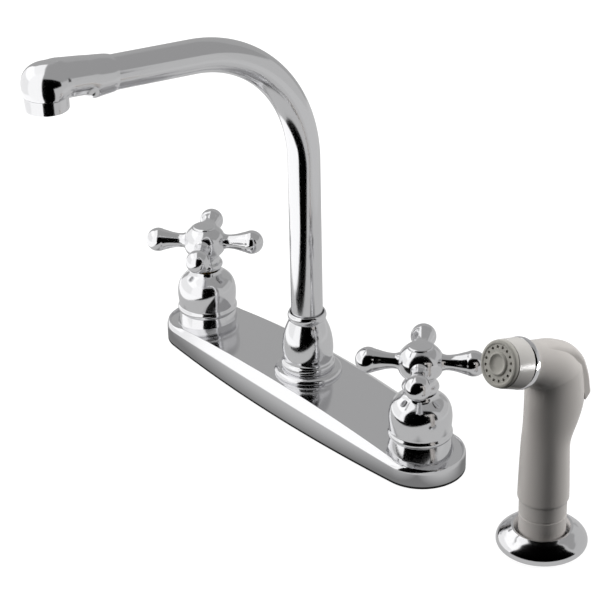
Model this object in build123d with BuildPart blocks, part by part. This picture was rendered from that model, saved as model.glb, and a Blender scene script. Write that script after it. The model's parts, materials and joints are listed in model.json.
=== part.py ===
from build123d import *
import os
from math import cos, radians, sin, sqrt, tan

# Kitchen faucet on 8 inch centres with a side sprayer in its own holder.
# Frame: origin on the deck under the spout, X along the plate, -Y to the user, +Z up, millimetres.

os.makedirs("parts", exist_ok=True)

# Layout
HANDLE_X = 101.6
SPRAYER_X = 203.2
SPRAYER_Y = -2.4

# Clearances
RUN = 0.05
THREAD = 0.05
GAP = 0.4
PASS = 0.3

# Deck plate
PLATE_LENGTH = 257.0
PLATE_WIDTH = 60.6
PLATE_SIDE_R = 1101.0
PLATE_HEIGHT = 19.0
CROWN_R = 909.0
BEVEL_END = 13.5
BEVEL_SIDE = 6.6
BEVEL_LENGTH = PLATE_LENGTH - 2 * BEVEL_END
BEVEL_WIDTH = PLATE_WIDTH - 2 * BEVEL_SIDE
BEVEL_SIDE_R = 521.0
BEVEL_SLOPE = 0.712
PLATE_EDGE_R = 0.8
PLATE_WALL = 2.4
GASKET_T = 1.4
GASKET_INSET = 0.4

# Handle seats and valve bodies
SEAT_Z = 10.9
SEAT_R = 19.7
PAD_T = 1.8
SHANK_R = 10.45
SHANK_BOTTOM = -52.0
TAIL_R = 10.2
TAIL_LENGTH = 20.0
COLLAR_R = 14.0
NECK_R = 11.0
NECK_TOP = 30.0
VALVE_BORE_R = 8.7
VALVE_FLOOR = -3.0
INLET_R = 6.5
TUBE_R = 3.8
TUBE_BORE_R = 3.0
TUBE_Z = 5.2
TUBE_SOCKET = 3.0

# Cartridges
SEAL_T = 1.5
DISC_T = 3.0
FIXED_DISC_R = 8.2
MOVING_DISC_R = 7.4
DISC_PORT_R = 2.2
DISC_PORT_PITCH_R = 3.8
CUP_R = 7.7
CUP_TOP = 9.0
CARTRIDGE_FLANGE_R = 10.6
CARTRIDGE_FLANGE_T = 1.6
GUIDE_R = 7.2
GUIDE_TOP = 48.6
WINDOW_R = 1.6
STEM_R = 5.0
STEM_FOOT_R = 6.0
STEM_FOOT_T = 1.5
STEM_SHOULDER = 50.2
BROACH_R = 4.0
BROACH_TOP = 66.0
TAB_WIDTH = 3.0
TAB_LENGTH = 9.0
TAB_DEPTH = 1.2
RING_WIRE_R = 1.0
RING_Z = 23.0
BONNET_FLATS = 25.4
BONNET_BOTTOM = 22.5
BONNET_LIP = 2.0

# Handles
RING_TOP = 20.3
RING_FOOT_R = 18.7
RING_BELLY_R = 19.6
RING_TOP_R = 17.9
BELL_R = 18.75
BELL_WALL_R = 16.3
BELL_COLLAR_BOTTOM = 43.0
BELL_TOP = 49.0
HANDLE_BOTTOM = 49.8
ARM_Z = 68.1
ARM_REACH = 29.6
ARM_BALL_R = 7.45
HUB_R = 13.0
HUB_HALF = 5.1
ARM_BOSS_R = 5.3
ARM_NECK_R = 4.4
ARM_NECK = 15.2
BALL_SINK = 3.4
HUB_TOP = 77.6
CAP_R = 7.0
CAP_RECESS = 1.2
SCREW_R = 2.0
SCREW_HEAD_R = 3.6
SCREW_HEAD_T = 3.0
SCREW_SEAT = 71.6
SCREW_LENGTH = 13.0

# Mounting hardware under the deck
DECK_T = 15.0
WASHER_T = 1.5
WASHER_R = 20.0
NUT_T = 11.0
NUT_FLATS = 32.0

# Spout post
FLANGE_SEAT = 18.8
POST_PAD_BOTTOM = 15.4
POST_COLLAR_R = 13.0
POST_NECK_R = 12.0
POST_TOP = 36.0
SOCKET_R = 7.8
SOCKET_FLOOR = 16.5
POST_PASSAGE_R = 5.0
DIVERTER_SEAT = 9.4
DIVERTER_SEAT_R = 4.4
DIVERTER_LENGTH = 5.0
NIPPLE_R = 6.85
NIPPLE_BORE_R = 3.6
NIPPLE_BOTTOM = -38.0
NIPPLE_LENGTH = 20.0
NIPPLE_NECK_R = 7.4

# Spout
SPOUT_R = 9.525
SPOUT_WALL = 1.225
SPOUT_BEND_R = 83.1
SPOUT_CORNER_Z = 234.1
SPOUT_RISE = 5.3
SPOUT_END = 139.8
FERRULE_BOTTOM = 18.0
FERRULE_FLANGE_R = 10.6
FERRULE_FLANGE_T = 2.4
FERRULE_SPIGOT = 11.6
FERRULE_BORE_R = 4.8
SEAL_WIRE_R = 0.88
SEAL_GROOVE_R = 6.0
SEAL_LEVELS = (23.0, 30.0)
RETAINER_R = 11.2
RETAINER_T = 1.6
FLANGE_R = 20.5
FLANGE_TOP = 22.6
BELL_NUT_R = 16.3
BELL_NUT_TOP = 59.6
BELL_NUT_HOLE_R = 9.95

# Nozzle and aerator
COLLAR_START = 129.2
COLLAR_END = 142.2
COLLAR_START_R = 10.1
COLLAR_END_R = 11.5
HEAD_START = 140.6
HEAD_OFFSET = 1.2
HEAD_TILT = 3.55
HEAD_START_R = 10.3
HEAD_R = 11.1
HEAD_LENGTH = 29.0
DOME_LENGTH = 12.6
OUTLET_Y = -168.3
OUTLET_R = 12.3
OUTLET_WALL = 7.0
OUTLET_DOME = 12.0
ARM_BORE_R = 7.4
ARM_BORE_END = 168.0
AERATOR_R = 11.8
AERATOR_BOTTOM = 237.0
AERATOR_TOP = 243.0
AERATOR_SPIGOT_R = 9.6
AERATOR_SPIGOT = 5.5
AERATOR_BORE_R = 8.6
AERATOR_LIP = 1.2
AERATOR_LIP_R = 7.4
INSERT_T = 5.0
SCREEN_T = 0.6
AERATOR_WASHER_T = 1.5

# Sprayer holder
HOLDER_R = 24.9
HOLDER_HEIGHT = 11.4
HOLDER_MOUTH_R = 15.6
HOLDER_SHELF = 3.0
HOLDER_BORE_R = 9.8
HOLDER_SHANK_R = 13.0
HOLDER_SHANK_BOTTOM = -42.0
HOLDER_NUT_FLATS = 38.0
HOLDER_NUT_T = 9.0
HOLDER_WASHER_R = 22.0

# Sprayer shell: offsets below are from the sprayer axis, in the plane across the plate
GRIP_FOOT_R = 13.0
GRIP_STEP_Z = 29.0
GRIP_STEP_H = 1.6
GRIP_R = 14.0
HEAD_PITCH = 18.9
HEAD_Y = -17.7
HEAD_Z = 118.9
SHELL_HEAD_R = 12.8
SHELL_NECK_R = 11.3
SHELL_HALF_WIDTH = 13.2
GRIP_TOP_R = 12.6
GRIP_TOP = 106.0
ELBOW_Y = 5.4
ELBOW_DEPTH = 36.4
HEAD_BACK_ROUND = 9.0
WATERWAY_R = 4.5
COUPLING_SPIGOT_R = 7.0
COUPLING_SPIGOT_TOP = 16.0
COUPLING_R = 9.2
COUPLING_BOTTOM = -12.0
HOSE_NIPPLE_R = 4.6
HOSE_NIPPLE_BOTTOM = -28.0
COUPLING_BORE_R = 3.2
COUPLING_WASHER_T = 1.5

# Sprayer head, stations measured forward along the head axis
SHELL_FACE = 2.4
TRIM_R = 13.8
TRIM_FRONT = 6.2
COLLAR_SPIGOT_R = 9.4
COLLAR_SPIGOT_BACK = -6.0
SPRAY_COLLAR_R = 13.5
SPRAY_COLLAR_FRONT = 17.4
SPRING_WALL = 0.5
SPRING_WALL_T = 2.0
FACE_R = 12.4
FACE_FRONT = 19.4
FACE_PLUG_R = 10.4
FACE_PLUG_BACK = 13.0
SPRAY_HOLES = 16
SPRAY_HOLE_R = 0.6
SPRAY_PITCH_R = 8.75
VALVE_CHAMBER_R = 8.0
VALVE_CHAMBER_BACK = -11.5
REAR_CHAMBER_R = 6.5
REAR_CHAMBER_BACK = -22.0
VALVE_SEAT_T = 2.5
VALVE_SEAT_HOLE_R = 3.6
PLUNGER_R = 2.0
PLUNGER_DISC_R = 5.2
PLUNGER_DISC_T = 2.0
PLUNGER_TAIL = -30.5
PILOT_R = 1.5
PILOT_FRONT = -2.0
SPRING_R = 3.6
SPRING_WIRE_R = 0.4
SPRING_TURNS = 5.0

# Trigger
LEVER_HALF_WIDTH = 8.0
LEVER_EDGE_R = 2.2
PIVOT_Y = 2.0
PIVOT_Z = 123.0
PIN_R = 1.5
PIN_HALF_LENGTH = 9.6


# Shared shapes
def lens_points(length, width, side_r):
    """Tangent points of a bowed outline: side arcs of side_r closed by tangent end arcs."""
    half_l = length / 2
    half_w = width / 2
    end_r = (width * side_r - half_l**2 - half_w**2) / (2 * side_r - length)
    scale = side_r / (side_r - end_r)
    x_t = (half_l - end_r) * scale
    y_t = (side_r - half_w) * (scale - 1)
    return x_t, y_t


def lens_face(length, width, side_r, height):
    """Flat face of a bowed outline at one height."""
    x_t, y_t = lens_points(length, width, side_r)
    half_l = length / 2
    half_w = width / 2
    with BuildSketch(Plane.XY.offset(height)) as sketch:
        with BuildLine():
            ThreePointArc((-x_t, y_t), (0, half_w), (x_t, y_t))
            ThreePointArc((x_t, y_t), (half_l, 0), (x_t, -y_t))
            ThreePointArc((x_t, -y_t), (0, -half_w), (-x_t, -y_t))
            ThreePointArc((-x_t, -y_t), (-half_l, 0), (-x_t, y_t))
        make_face()
    return sketch.sketch


def plate_blank(inset, drop, bottom):
    """Crowned and bevelled plate block, shrunk at the walls by inset and lowered by drop."""
    base = lens_face(PLATE_LENGTH - 2 * inset, PLATE_WIDTH - 2 * inset, PLATE_SIDE_R - inset, bottom)
    spread = PLATE_HEIGHT / BEVEL_SLOPE
    top = PLATE_HEIGHT - drop
    upper = lens_face(BEVEL_LENGTH, BEVEL_WIDTH, BEVEL_SIDE_R, top)
    lower = lens_face(BEVEL_LENGTH + 2 * spread, BEVEL_WIDTH + 2 * spread, BEVEL_SIDE_R + spread, -drop)
    reach = PLATE_LENGTH
    fall = CROWN_R - sqrt(CROWN_R**2 - reach**2)
    with BuildPart() as bevel:
        add(lower)
        add(upper)
        loft(ruled=True)
    with BuildPart() as block:
        add(base)
        extrude(amount=PLATE_HEIGHT)
        add(bevel.part, mode=Mode.INTERSECT)
        with BuildSketch(Plane.XZ):
            with BuildLine():
                ThreePointArc((-reach, top - fall), (0, top), (reach, top - fall))
                Polyline((reach, top - fall), (reach, -60), (-reach, -60), (-reach, top - fall))
            make_face()
        extrude(amount=PLATE_LENGTH, both=True, mode=Mode.INTERSECT)
    return block.part


def fitted(shares, radius, bottom, top):
    """Outline points from shares of a radius and of the height between two levels."""
    return [(radius * r, bottom + (top - bottom) * h) for r, h in shares]


def turned(lower, curve, upper):
    """Solid turned about Z from an (r, z) outline: straight runs joined by one smooth curve."""
    with BuildPart() as body:
        with BuildSketch(Plane.XZ):
            with BuildLine():
                if len(lower) > 1:
                    Polyline(*lower)
                Spline(*curve)
                Polyline(*upper, lower[0])
            make_face()
        revolve(axis=Axis.Z)
    return body.part


def stepped(outline):
    """Solid turned about Z from a straight-sided (r, z) outline."""
    with BuildPart() as body:
        with BuildSketch(Plane.XZ):
            with BuildLine():
                Polyline(*outline, close=True)
            make_face()
        revolve(axis=Axis.Z)
    return body.part


def ring(outer, inner, bottom, top):
    """Plain ring about Z."""
    return stepped([(inner, bottom), (outer, bottom), (outer, top), (inner, top)])


def o_ring(pitch_r, wire_r, height):
    """Round-section ring about Z."""
    with BuildPart() as body:
        with BuildSketch(Plane.XZ):
            with Locations((pitch_r, height)):
                Circle(wire_r)
        revolve(axis=Axis.Z)
    return body.part


def hex_nut(flats, bore, bottom, top):
    """Six-sided nut about Z with its corners turned off."""
    corner = flats / 2 / cos(radians(30))
    chamfer = corner - flats / 2
    with BuildPart() as body:
        with BuildSketch(Plane.XY.offset(bottom)):
            RegularPolygon(flats / 2, 6, major_radius=False)
            Circle(bore, mode=Mode.SUBTRACT)
        extrude(amount=top - bottom)
        outline = [(bore - 1, bottom), (flats / 2, bottom), (corner, bottom + chamfer * 0.6)]
        outline += [(corner, top - chamfer * 0.6), (flats / 2, top), (bore - 1, top)]
        add(stepped(outline), mode=Mode.INTERSECT)
    return body.part


def head_place(station):
    """Location on the sprayer head axis whose local Z points out of the spray face."""
    pitch = radians(HEAD_PITCH)
    y = SPRAYER_Y + HEAD_Y - station * cos(pitch)
    z = HEAD_Z + station * sin(pitch)
    return Location(Plane((SPRAYER_X, y, z), x_dir=(1, 0, 0), z_dir=(0, -cos(pitch), sin(pitch))))


HEAD = head_place(0)
GRIP = Location((SPRAYER_X, SPRAYER_Y, 0))
LEFT = Location((-HANDLE_X, 0, 0))
RIGHT = Location((HANDLE_X, 0, 0))
LEFT_TURNED = Location((-HANDLE_X, 0, 0), (0, 0, 180))


# Deck plate and gasket
pad_bottom = SEAT_Z - PAD_T
plate_outer = plate_blank(0, 0, GASKET_T)
plate_cavity = plate_blank(PLATE_WALL, PLATE_WALL, GASKET_T)

with BuildPart() as plate_pads:
    with Locations((-HANDLE_X, 0, pad_bottom), (HANDLE_X, 0, pad_bottom)):
        Cylinder(SEAT_R + PLATE_WALL, PLATE_HEIGHT, align=(Align.CENTER, Align.CENTER, Align.MIN))
    with Locations((0, 0, POST_PAD_BOTTOM)):
        Cylinder(POST_COLLAR_R + PLATE_WALL, PLATE_HEIGHT, align=(Align.CENTER, Align.CENTER, Align.MIN))

with BuildPart() as plate_hollow:
    add(plate_cavity)
    add(plate_pads.part, mode=Mode.SUBTRACT)

with BuildPart() as deck_plate:
    add(plate_outer)
    rims = deck_plate.edges().filter_by(lambda e: e.center().Z > GASKET_T + 1)
    fillet(rims, PLATE_EDGE_R)
    add(plate_hollow.part, mode=Mode.SUBTRACT)
    with Locations((-HANDLE_X, 0, 0), (HANDLE_X, 0, 0)):
        Cylinder(NECK_R + PASS, 60, mode=Mode.SUBTRACT)
    with Locations((-HANDLE_X, 0, SEAT_Z), (HANDLE_X, 0, SEAT_Z)):
        Cylinder(SEAT_R, 20, align=(Align.CENTER, Align.CENTER, Align.MIN), mode=Mode.SUBTRACT)
    Cylinder(POST_NECK_R + PASS, 60, mode=Mode.SUBTRACT)
    with Locations((0, 0, FLANGE_SEAT)):
        Cylinder(FLANGE_R + PASS, 20, align=(Align.CENTER, Align.CENTER, Align.MIN), mode=Mode.SUBTRACT)
deck_plate.part.label = "deck_plate"
export_step(deck_plate.part, "parts/deck_plate.step")

gasket_face = lens_face(PLATE_LENGTH - 2 * GASKET_INSET, PLATE_WIDTH - 2 * GASKET_INSET,
                        PLATE_SIDE_R - GASKET_INSET, 0)

with BuildPart() as base_gasket:
    add(gasket_face)
    extrude(amount=GASKET_T)
    with Locations((-HANDLE_X, 0, 0), (HANDLE_X, 0, 0)):
        Cylinder(SHANK_R + PASS, 10, mode=Mode.SUBTRACT)
    Cylinder(NIPPLE_NECK_R + PASS, 10, mode=Mode.SUBTRACT)
base_gasket.part.label = "base_gasket"
export_step(base_gasket.part, "parts/base_gasket.step")

# Valve bodies: the side port of the right one points at the spout
valve_outline = [
    (INLET_R, SHANK_BOTTOM), (TAIL_R, SHANK_BOTTOM), (TAIL_R, SHANK_BOTTOM + TAIL_LENGTH),
    (SHANK_R, SHANK_BOTTOM + TAIL_LENGTH), (SHANK_R, GASKET_T), (COLLAR_R, GASKET_T),
    (COLLAR_R, pad_bottom), (NECK_R, pad_bottom), (NECK_R, NECK_TOP), (VALVE_BORE_R, NECK_TOP),
    (VALVE_BORE_R, VALVE_FLOOR), (INLET_R, VALVE_FLOOR),
]
valve_turning = stepped(valve_outline)

with BuildPart() as valve_blank:
    add(valve_turning)
    with BuildSketch(Plane((0, 0, TUBE_Z), x_dir=(0, 1, 0), z_dir=(-1, 0, 0))):
        Circle(TUBE_BORE_R)
    extrude(amount=COLLAR_R + 1, mode=Mode.SUBTRACT)
    with BuildSketch(Plane((-COLLAR_R + TUBE_SOCKET, 0, TUBE_Z), x_dir=(0, 1, 0), z_dir=(-1, 0, 0))):
        Circle(TUBE_R + THREAD)
    extrude(amount=TUBE_SOCKET + 1, mode=Mode.SUBTRACT)

with BuildPart() as left_valve_body:
    with Locations(LEFT_TURNED):
        add(valve_blank.part)
left_valve_body.part.label = "left_valve_body"
export_step(left_valve_body.part, "parts/left_valve_body.step")

with BuildPart() as right_valve_body:
    with Locations(RIGHT):
        add(valve_blank.part)
right_valve_body.part.label = "right_valve_body"
export_step(right_valve_body.part, "parts/right_valve_body.step")

# Feed tubes
tube_start = POST_COLLAR_R - TUBE_SOCKET
tube_length = HANDLE_X - COLLAR_R + TUBE_SOCKET - tube_start

with BuildPart() as left_feed_tube:
    with BuildSketch(Plane((-tube_start, 0, TUBE_Z), x_dir=(0, 1, 0), z_dir=(-1, 0, 0))):
        Circle(TUBE_R)
        Circle(TUBE_BORE_R, mode=Mode.SUBTRACT)
    extrude(amount=tube_length)
left_feed_tube.part.label = "left_feed_tube"
export_step(left_feed_tube.part, "parts/left_feed_tube.step")

with BuildPart() as right_feed_tube:
    with BuildSketch(Plane((tube_start, 0, TUBE_Z), x_dir=(0, 1, 0), z_dir=(1, 0, 0))):
        Circle(TUBE_R)
        Circle(TUBE_BORE_R, mode=Mode.SUBTRACT)
    extrude(amount=tube_length)
right_feed_tube.part.label = "right_feed_tube"
export_step(right_feed_tube.part, "parts/right_feed_tube.step")

# Spout post with the side spray nipple below
post_turning = stepped([
    (NIPPLE_BORE_R, NIPPLE_BOTTOM), (NIPPLE_R, NIPPLE_BOTTOM), (NIPPLE_R, NIPPLE_BOTTOM + NIPPLE_LENGTH),
    (NIPPLE_NECK_R, NIPPLE_BOTTOM + NIPPLE_LENGTH), (NIPPLE_NECK_R, GASKET_T),
    (POST_COLLAR_R, GASKET_T), (POST_COLLAR_R, POST_PAD_BOTTOM), (POST_NECK_R, POST_PAD_BOTTOM),
    (POST_NECK_R, POST_TOP), (SOCKET_R, POST_TOP), (SOCKET_R, SOCKET_FLOOR),
    (POST_PASSAGE_R, SOCKET_FLOOR), (POST_PASSAGE_R, DIVERTER_SEAT), (DIVERTER_SEAT_R, DIVERTER_SEAT),
    (DIVERTER_SEAT_R, GASKET_T), (NIPPLE_BORE_R, GASKET_T),
])

with BuildPart() as spout_post:
    add(post_turning)
    with BuildSketch(Plane((-POST_COLLAR_R, 0, TUBE_Z), x_dir=(0, 1, 0), z_dir=(1, 0, 0))):
        Circle(TUBE_BORE_R)
    extrude(amount=2 * POST_COLLAR_R, mode=Mode.SUBTRACT)
    with BuildSketch(Plane((-tube_start, 0, TUBE_Z), x_dir=(0, 1, 0), z_dir=(-1, 0, 0))):
        Circle(TUBE_R + THREAD)
    extrude(amount=TUBE_SOCKET + 1, mode=Mode.SUBTRACT)
    with BuildSketch(Plane((tube_start, 0, TUBE_Z), x_dir=(0, 1, 0), z_dir=(1, 0, 0))):
        Circle(TUBE_R + THREAD)
    extrude(amount=TUBE_SOCKET + 1, mode=Mode.SUBTRACT)
spout_post.part.label = "spout_post"
export_step(spout_post.part, "parts/spout_post.step")

with BuildPart() as diverter_valve:
    Cylinder(POST_PASSAGE_R - RUN, DIVERTER_LENGTH, align=(Align.CENTER, Align.CENTER, Align.MIN))
    with Locations((0, 0, DIVERTER_LENGTH / 2)):
        Cylinder(DIVERTER_SEAT_R - 1, DIVERTER_LENGTH, align=(Align.CENTER, Align.CENTER, Align.MIN),
                 mode=Mode.SUBTRACT)
    with PolarLocations(DIVERTER_SEAT_R - 2.2, 4):
        Hole(0.8)
diverter_valve.part.locate(Location((0, 0, DIVERTER_SEAT)))
diverter_valve.part.label = "diverter_valve"
export_step(diverter_valve.part, "parts/diverter_valve.step")

# Cartridge stack: seal, fixed disc, moving disc, sleeve and stem
fixed_bottom = VALVE_FLOOR + SEAL_T
moving_bottom = fixed_bottom + DISC_T
foot_bottom = moving_bottom + DISC_T
seal_blank = ring(VALVE_BORE_R - 0.2, INLET_R + 0.1, VALVE_FLOOR, fixed_bottom)

with BuildPart() as seat_seals:
    with Locations(LEFT, RIGHT):
        add(seal_blank)
seat_seals.part.label = "seat_seals"
export_step(seat_seals.part, "parts/seat_seals.step")

with BuildPart() as fixed_blank:
    with Locations((0, 0, fixed_bottom)):
        Cylinder(FIXED_DISC_R, DISC_T, align=(Align.CENTER, Align.CENTER, Align.MIN))
    with Locations((0, DISC_PORT_PITCH_R, fixed_bottom), (0, -DISC_PORT_PITCH_R, fixed_bottom)):
        Cylinder(DISC_PORT_R, 20, mode=Mode.SUBTRACT)

with BuildPart() as left_fixed_disc:
    with Locations(LEFT):
        add(fixed_blank.part)
left_fixed_disc.part.label = "left_fixed_disc"
export_step(left_fixed_disc.part, "parts/left_fixed_disc.step")

with BuildPart() as right_fixed_disc:
    with Locations(RIGHT):
        add(fixed_blank.part)
right_fixed_disc.part.label = "right_fixed_disc"
export_step(right_fixed_disc.part, "parts/right_fixed_disc.step")

with BuildPart() as moving_blank:
    with Locations((0, 0, moving_bottom)):
        Cylinder(MOVING_DISC_R, DISC_T, align=(Align.CENTER, Align.CENTER, Align.MIN))
    with Locations((DISC_PORT_PITCH_R, 0, moving_bottom), (-DISC_PORT_PITCH_R, 0, moving_bottom)):
        Cylinder(DISC_PORT_R, 20, mode=Mode.SUBTRACT)
    with Locations((0, 0, foot_bottom)):
        Box(TAB_WIDTH + 2 * RUN, TAB_LENGTH + 2 * RUN, 2 * (TAB_DEPTH + RUN), mode=Mode.SUBTRACT)

with BuildPart() as left_moving_disc:
    with Locations(LEFT):
        add(moving_blank.part)
left_moving_disc.part.label = "left_moving_disc"
export_step(left_moving_disc.part, "parts/left_moving_disc.step")

with BuildPart() as right_moving_disc:
    with Locations(RIGHT):
        add(moving_blank.part)
right_moving_disc.part.label = "right_moving_disc"
export_step(right_moving_disc.part, "parts/right_moving_disc.step")

flange_top = NECK_TOP + CARTRIDGE_FLANGE_T
sleeve_r = VALVE_BORE_R - THREAD
stem_bore = STEM_R + RUN
sleeve_turning = stepped([
    (CUP_R, moving_bottom), (sleeve_r, moving_bottom), (sleeve_r, NECK_TOP),
    (CARTRIDGE_FLANGE_R, NECK_TOP), (CARTRIDGE_FLANGE_R, flange_top), (GUIDE_R, flange_top),
    (GUIDE_R, GUIDE_TOP), (stem_bore, GUIDE_TOP), (stem_bore, CUP_TOP), (CUP_R, CUP_TOP),
])

with BuildPart() as sleeve_blank:
    add(sleeve_turning)
    with BuildSketch(Plane((-20, 0, foot_bottom + WINDOW_R), x_dir=(0, 1, 0), z_dir=(1, 0, 0))):
        Circle(WINDOW_R)
    extrude(amount=40, mode=Mode.SUBTRACT)

with BuildPart() as left_cartridge:
    with Locations(LEFT):
        add(sleeve_blank.part)
left_cartridge.part.label = "left_cartridge"
export_step(left_cartridge.part, "parts/left_cartridge.step")

with BuildPart() as right_cartridge:
    with Locations(RIGHT):
        add(sleeve_blank.part)
right_cartridge.part.label = "right_cartridge"
export_step(right_cartridge.part, "parts/right_cartridge.step")

screw_bottom = SCREW_SEAT - SCREW_LENGTH
groove_r = STEM_R - 2 * RING_WIRE_R
stem_turning = stepped([
    (0, foot_bottom), (STEM_FOOT_R, foot_bottom), (STEM_FOOT_R, foot_bottom + STEM_FOOT_T),
    (STEM_R, foot_bottom + STEM_FOOT_T), (STEM_R, RING_Z - 1.3), (groove_r, RING_Z - 1.3),
    (groove_r, RING_Z + 1.3), (STEM_R, RING_Z + 1.3), (STEM_R, STEM_SHOULDER),
    (BROACH_R, STEM_SHOULDER), (BROACH_R, BROACH_TOP), (SCREW_R + THREAD, BROACH_TOP),
    (SCREW_R + THREAD, screw_bottom - 1), (0, screw_bottom - 1),
])

with BuildPart() as stem_blank:
    add(stem_turning)
    with Locations((0, 0, foot_bottom)):
        Box(TAB_WIDTH, TAB_LENGTH, TAB_DEPTH, align=(Align.CENTER, Align.CENTER, Align.MAX))

with BuildPart() as left_stem:
    with Locations(LEFT):
        add(stem_blank.part)
left_stem.part.label = "left_stem"
export_step(left_stem.part, "parts/left_stem.step")

with BuildPart() as right_stem:
    with Locations(RIGHT):
        add(stem_blank.part)
right_stem.part.label = "right_stem"
export_step(right_stem.part, "parts/right_stem.step")

stem_ring_blank = o_ring(STEM_R - RING_WIRE_R + 0.02, RING_WIRE_R - 0.01, RING_Z)

with BuildPart() as left_stem_o_ring:
    with Locations(LEFT):
        add(stem_ring_blank)
left_stem_o_ring.part.label = "left_stem_o_ring"
export_step(left_stem_o_ring.part, "parts/left_stem_o_ring.step")

with BuildPart() as right_stem_o_ring:
    with Locations(RIGHT):
        add(stem_ring_blank)
right_stem_o_ring.part.label = "right_stem_o_ring"
export_step(right_stem_o_ring.part, "parts/right_stem_o_ring.step")

bonnet_top = flange_top + BONNET_LIP
bonnet_hex = hex_nut(BONNET_FLATS, GUIDE_R + GAP, BONNET_BOTTOM, bonnet_top)
bonnet_bore = ring(NECK_R + THREAD, 1, BONNET_BOTTOM - 1, flange_top)

with BuildPart() as bonnet_blank:
    add(bonnet_hex)
    add(bonnet_bore, mode=Mode.SUBTRACT)

with BuildPart() as bonnet_nuts:
    with Locations(LEFT, RIGHT):
        add(bonnet_blank.part)
bonnet_nuts.part.label = "bonnet_nuts"
export_step(bonnet_nuts.part, "parts/bonnet_nuts.step")

# Base rings and bells
ring_blank = turned(
    [(NECK_R + PASS, SEAT_Z), (RING_FOOT_R, SEAT_Z), (RING_FOOT_R, SEAT_Z + 0.2)],
    [(RING_FOOT_R, SEAT_Z + 0.2), (RING_BELLY_R - 0.2, SEAT_Z + 0.8), (RING_BELLY_R, SEAT_Z + 1.7),
     (RING_BELLY_R - 0.3, SEAT_Z + 2.7), (RING_TOP_R + 0.95, SEAT_Z + 3.7), (RING_TOP_R + 0.4, RING_TOP - 2.8),
     (RING_TOP_R, RING_TOP - 0.8), (RING_TOP_R - 0.5, RING_TOP)],
    [(RING_TOP_R - 0.5, RING_TOP), (NECK_R + PASS, RING_TOP)])

with BuildPart() as left_base_ring:
    with Locations(LEFT):
        add(ring_blank)
left_base_ring.part.label = "left_base_ring"
export_step(left_base_ring.part, "parts/left_base_ring.step")

with BuildPart() as right_base_ring:
    with Locations(RIGHT):
        add(ring_blank)
right_base_ring.part.label = "right_base_ring"
export_step(right_base_ring.part, "parts/right_base_ring.step")

bell_foot = RING_TOP + 0.7
bell_curve = fitted([
    (0.9227, 0.0000), (0.9787, 0.0179), (1.0000, 0.0571), (0.9893, 0.1000), (0.9600, 0.1357),
    (0.9573, 0.1929), (0.9707, 0.2857), (0.9813, 0.4107), (0.9653, 0.5357), (0.9173, 0.6643),
    (0.8373, 0.7821), (0.7253, 0.8893), (0.6080, 0.9607), (0.5013, 1.0000),
], BELL_R, bell_foot, BELL_TOP)
bell_blank = turned(
    [(BELL_WALL_R, RING_TOP), (BELL_WALL_R + 0.5, RING_TOP), (BELL_WALL_R + 0.5, bell_foot), bell_curve[0]],
    bell_curve,
    [bell_curve[-1], (GUIDE_R + THREAD, BELL_TOP), (GUIDE_R + THREAD, BELL_COLLAR_BOTTOM),
     (BELL_WALL_R - 3.7, BELL_COLLAR_BOTTOM), (BELL_WALL_R - 1.7, BELL_COLLAR_BOTTOM - 1.6),
     (BELL_WALL_R - 0.5, BELL_COLLAR_BOTTOM - 3.8), (BELL_WALL_R, BELL_COLLAR_BOTTOM - 7.0)])

with BuildPart() as left_bell:
    with Locations(LEFT):
        add(bell_blank)
left_bell.part.label = "left_bell"
export_step(left_bell.part, "parts/left_bell.step")

with BuildPart() as right_bell:
    with Locations(RIGHT):
        add(bell_blank)
right_bell.part.label = "right_bell"
export_step(right_bell.part, "parts/right_bell.step")

# Cross handles: turned hub, four ball-ended arms, bored for the stem, screw and cap
hub_curve = fitted([
    (0.6462, 0.0000), (0.7615, 0.0567), (0.8231, 0.1702), (0.7923, 0.2837), (0.7077, 0.3830),
    (0.6769, 0.5106), (0.7385, 0.6667), (0.8846, 0.8227), (0.9615, 0.9504), (1.0000, 1.1348),
], HUB_R, HANDLE_BOTTOM, ARM_Z - HUB_HALF + 0.9)
hub_blank = turned(
    [(0, HANDLE_BOTTOM), hub_curve[0]],
    hub_curve + [(HUB_R, ARM_Z + 0.4), (HUB_R - 0.4, ARM_Z + 3.4), (HUB_R - 1.8, ARM_Z + 6.1),
                 (CAP_R + 2.3, HUB_TOP - 1.3), (CAP_R + 0.8, HUB_TOP)],
    [(CAP_R + 0.8, HUB_TOP), (0, HUB_TOP)])

ball_start = ARM_REACH - BALL_SINK
ball_start_r = sqrt(ARM_BALL_R**2 - BALL_SINK**2)
swell = ball_start - ARM_NECK
gain = ball_start_r - ARM_NECK_R

with BuildPart() as arm_blank:
    with BuildSketch(Plane.XY):
        with BuildLine():
            Polyline((4, 0), (4, ARM_BOSS_R), (ARM_NECK - 4.0, ARM_BOSS_R), (ARM_NECK - 2.2, ARM_NECK_R + 0.4),
                     (ARM_NECK - 1.0, ARM_NECK_R + 0.1), (ARM_NECK, ARM_NECK_R))
            Spline((ARM_NECK, ARM_NECK_R), (ARM_NECK + 0.273 * swell, ARM_NECK_R + 0.112 * gain),
                   (ARM_NECK + 0.564 * swell, ARM_NECK_R + 0.404 * gain),
                   (ARM_NECK + 0.818 * swell, ARM_NECK_R + 0.762 * gain), (ball_start, ball_start_r),
                   tangents=[(1, 0), (ball_start_r, BALL_SINK)])
            ThreePointArc((ball_start, ball_start_r), (ARM_REACH + ARM_BALL_R * 0.6, ARM_BALL_R * 0.8),
                          (ARM_REACH + ARM_BALL_R, 0))
            Line((ARM_REACH + ARM_BALL_R, 0), (4, 0))
        make_face()
    revolve(axis=Axis.X)

stem_hole = BROACH_R + THREAD

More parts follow.
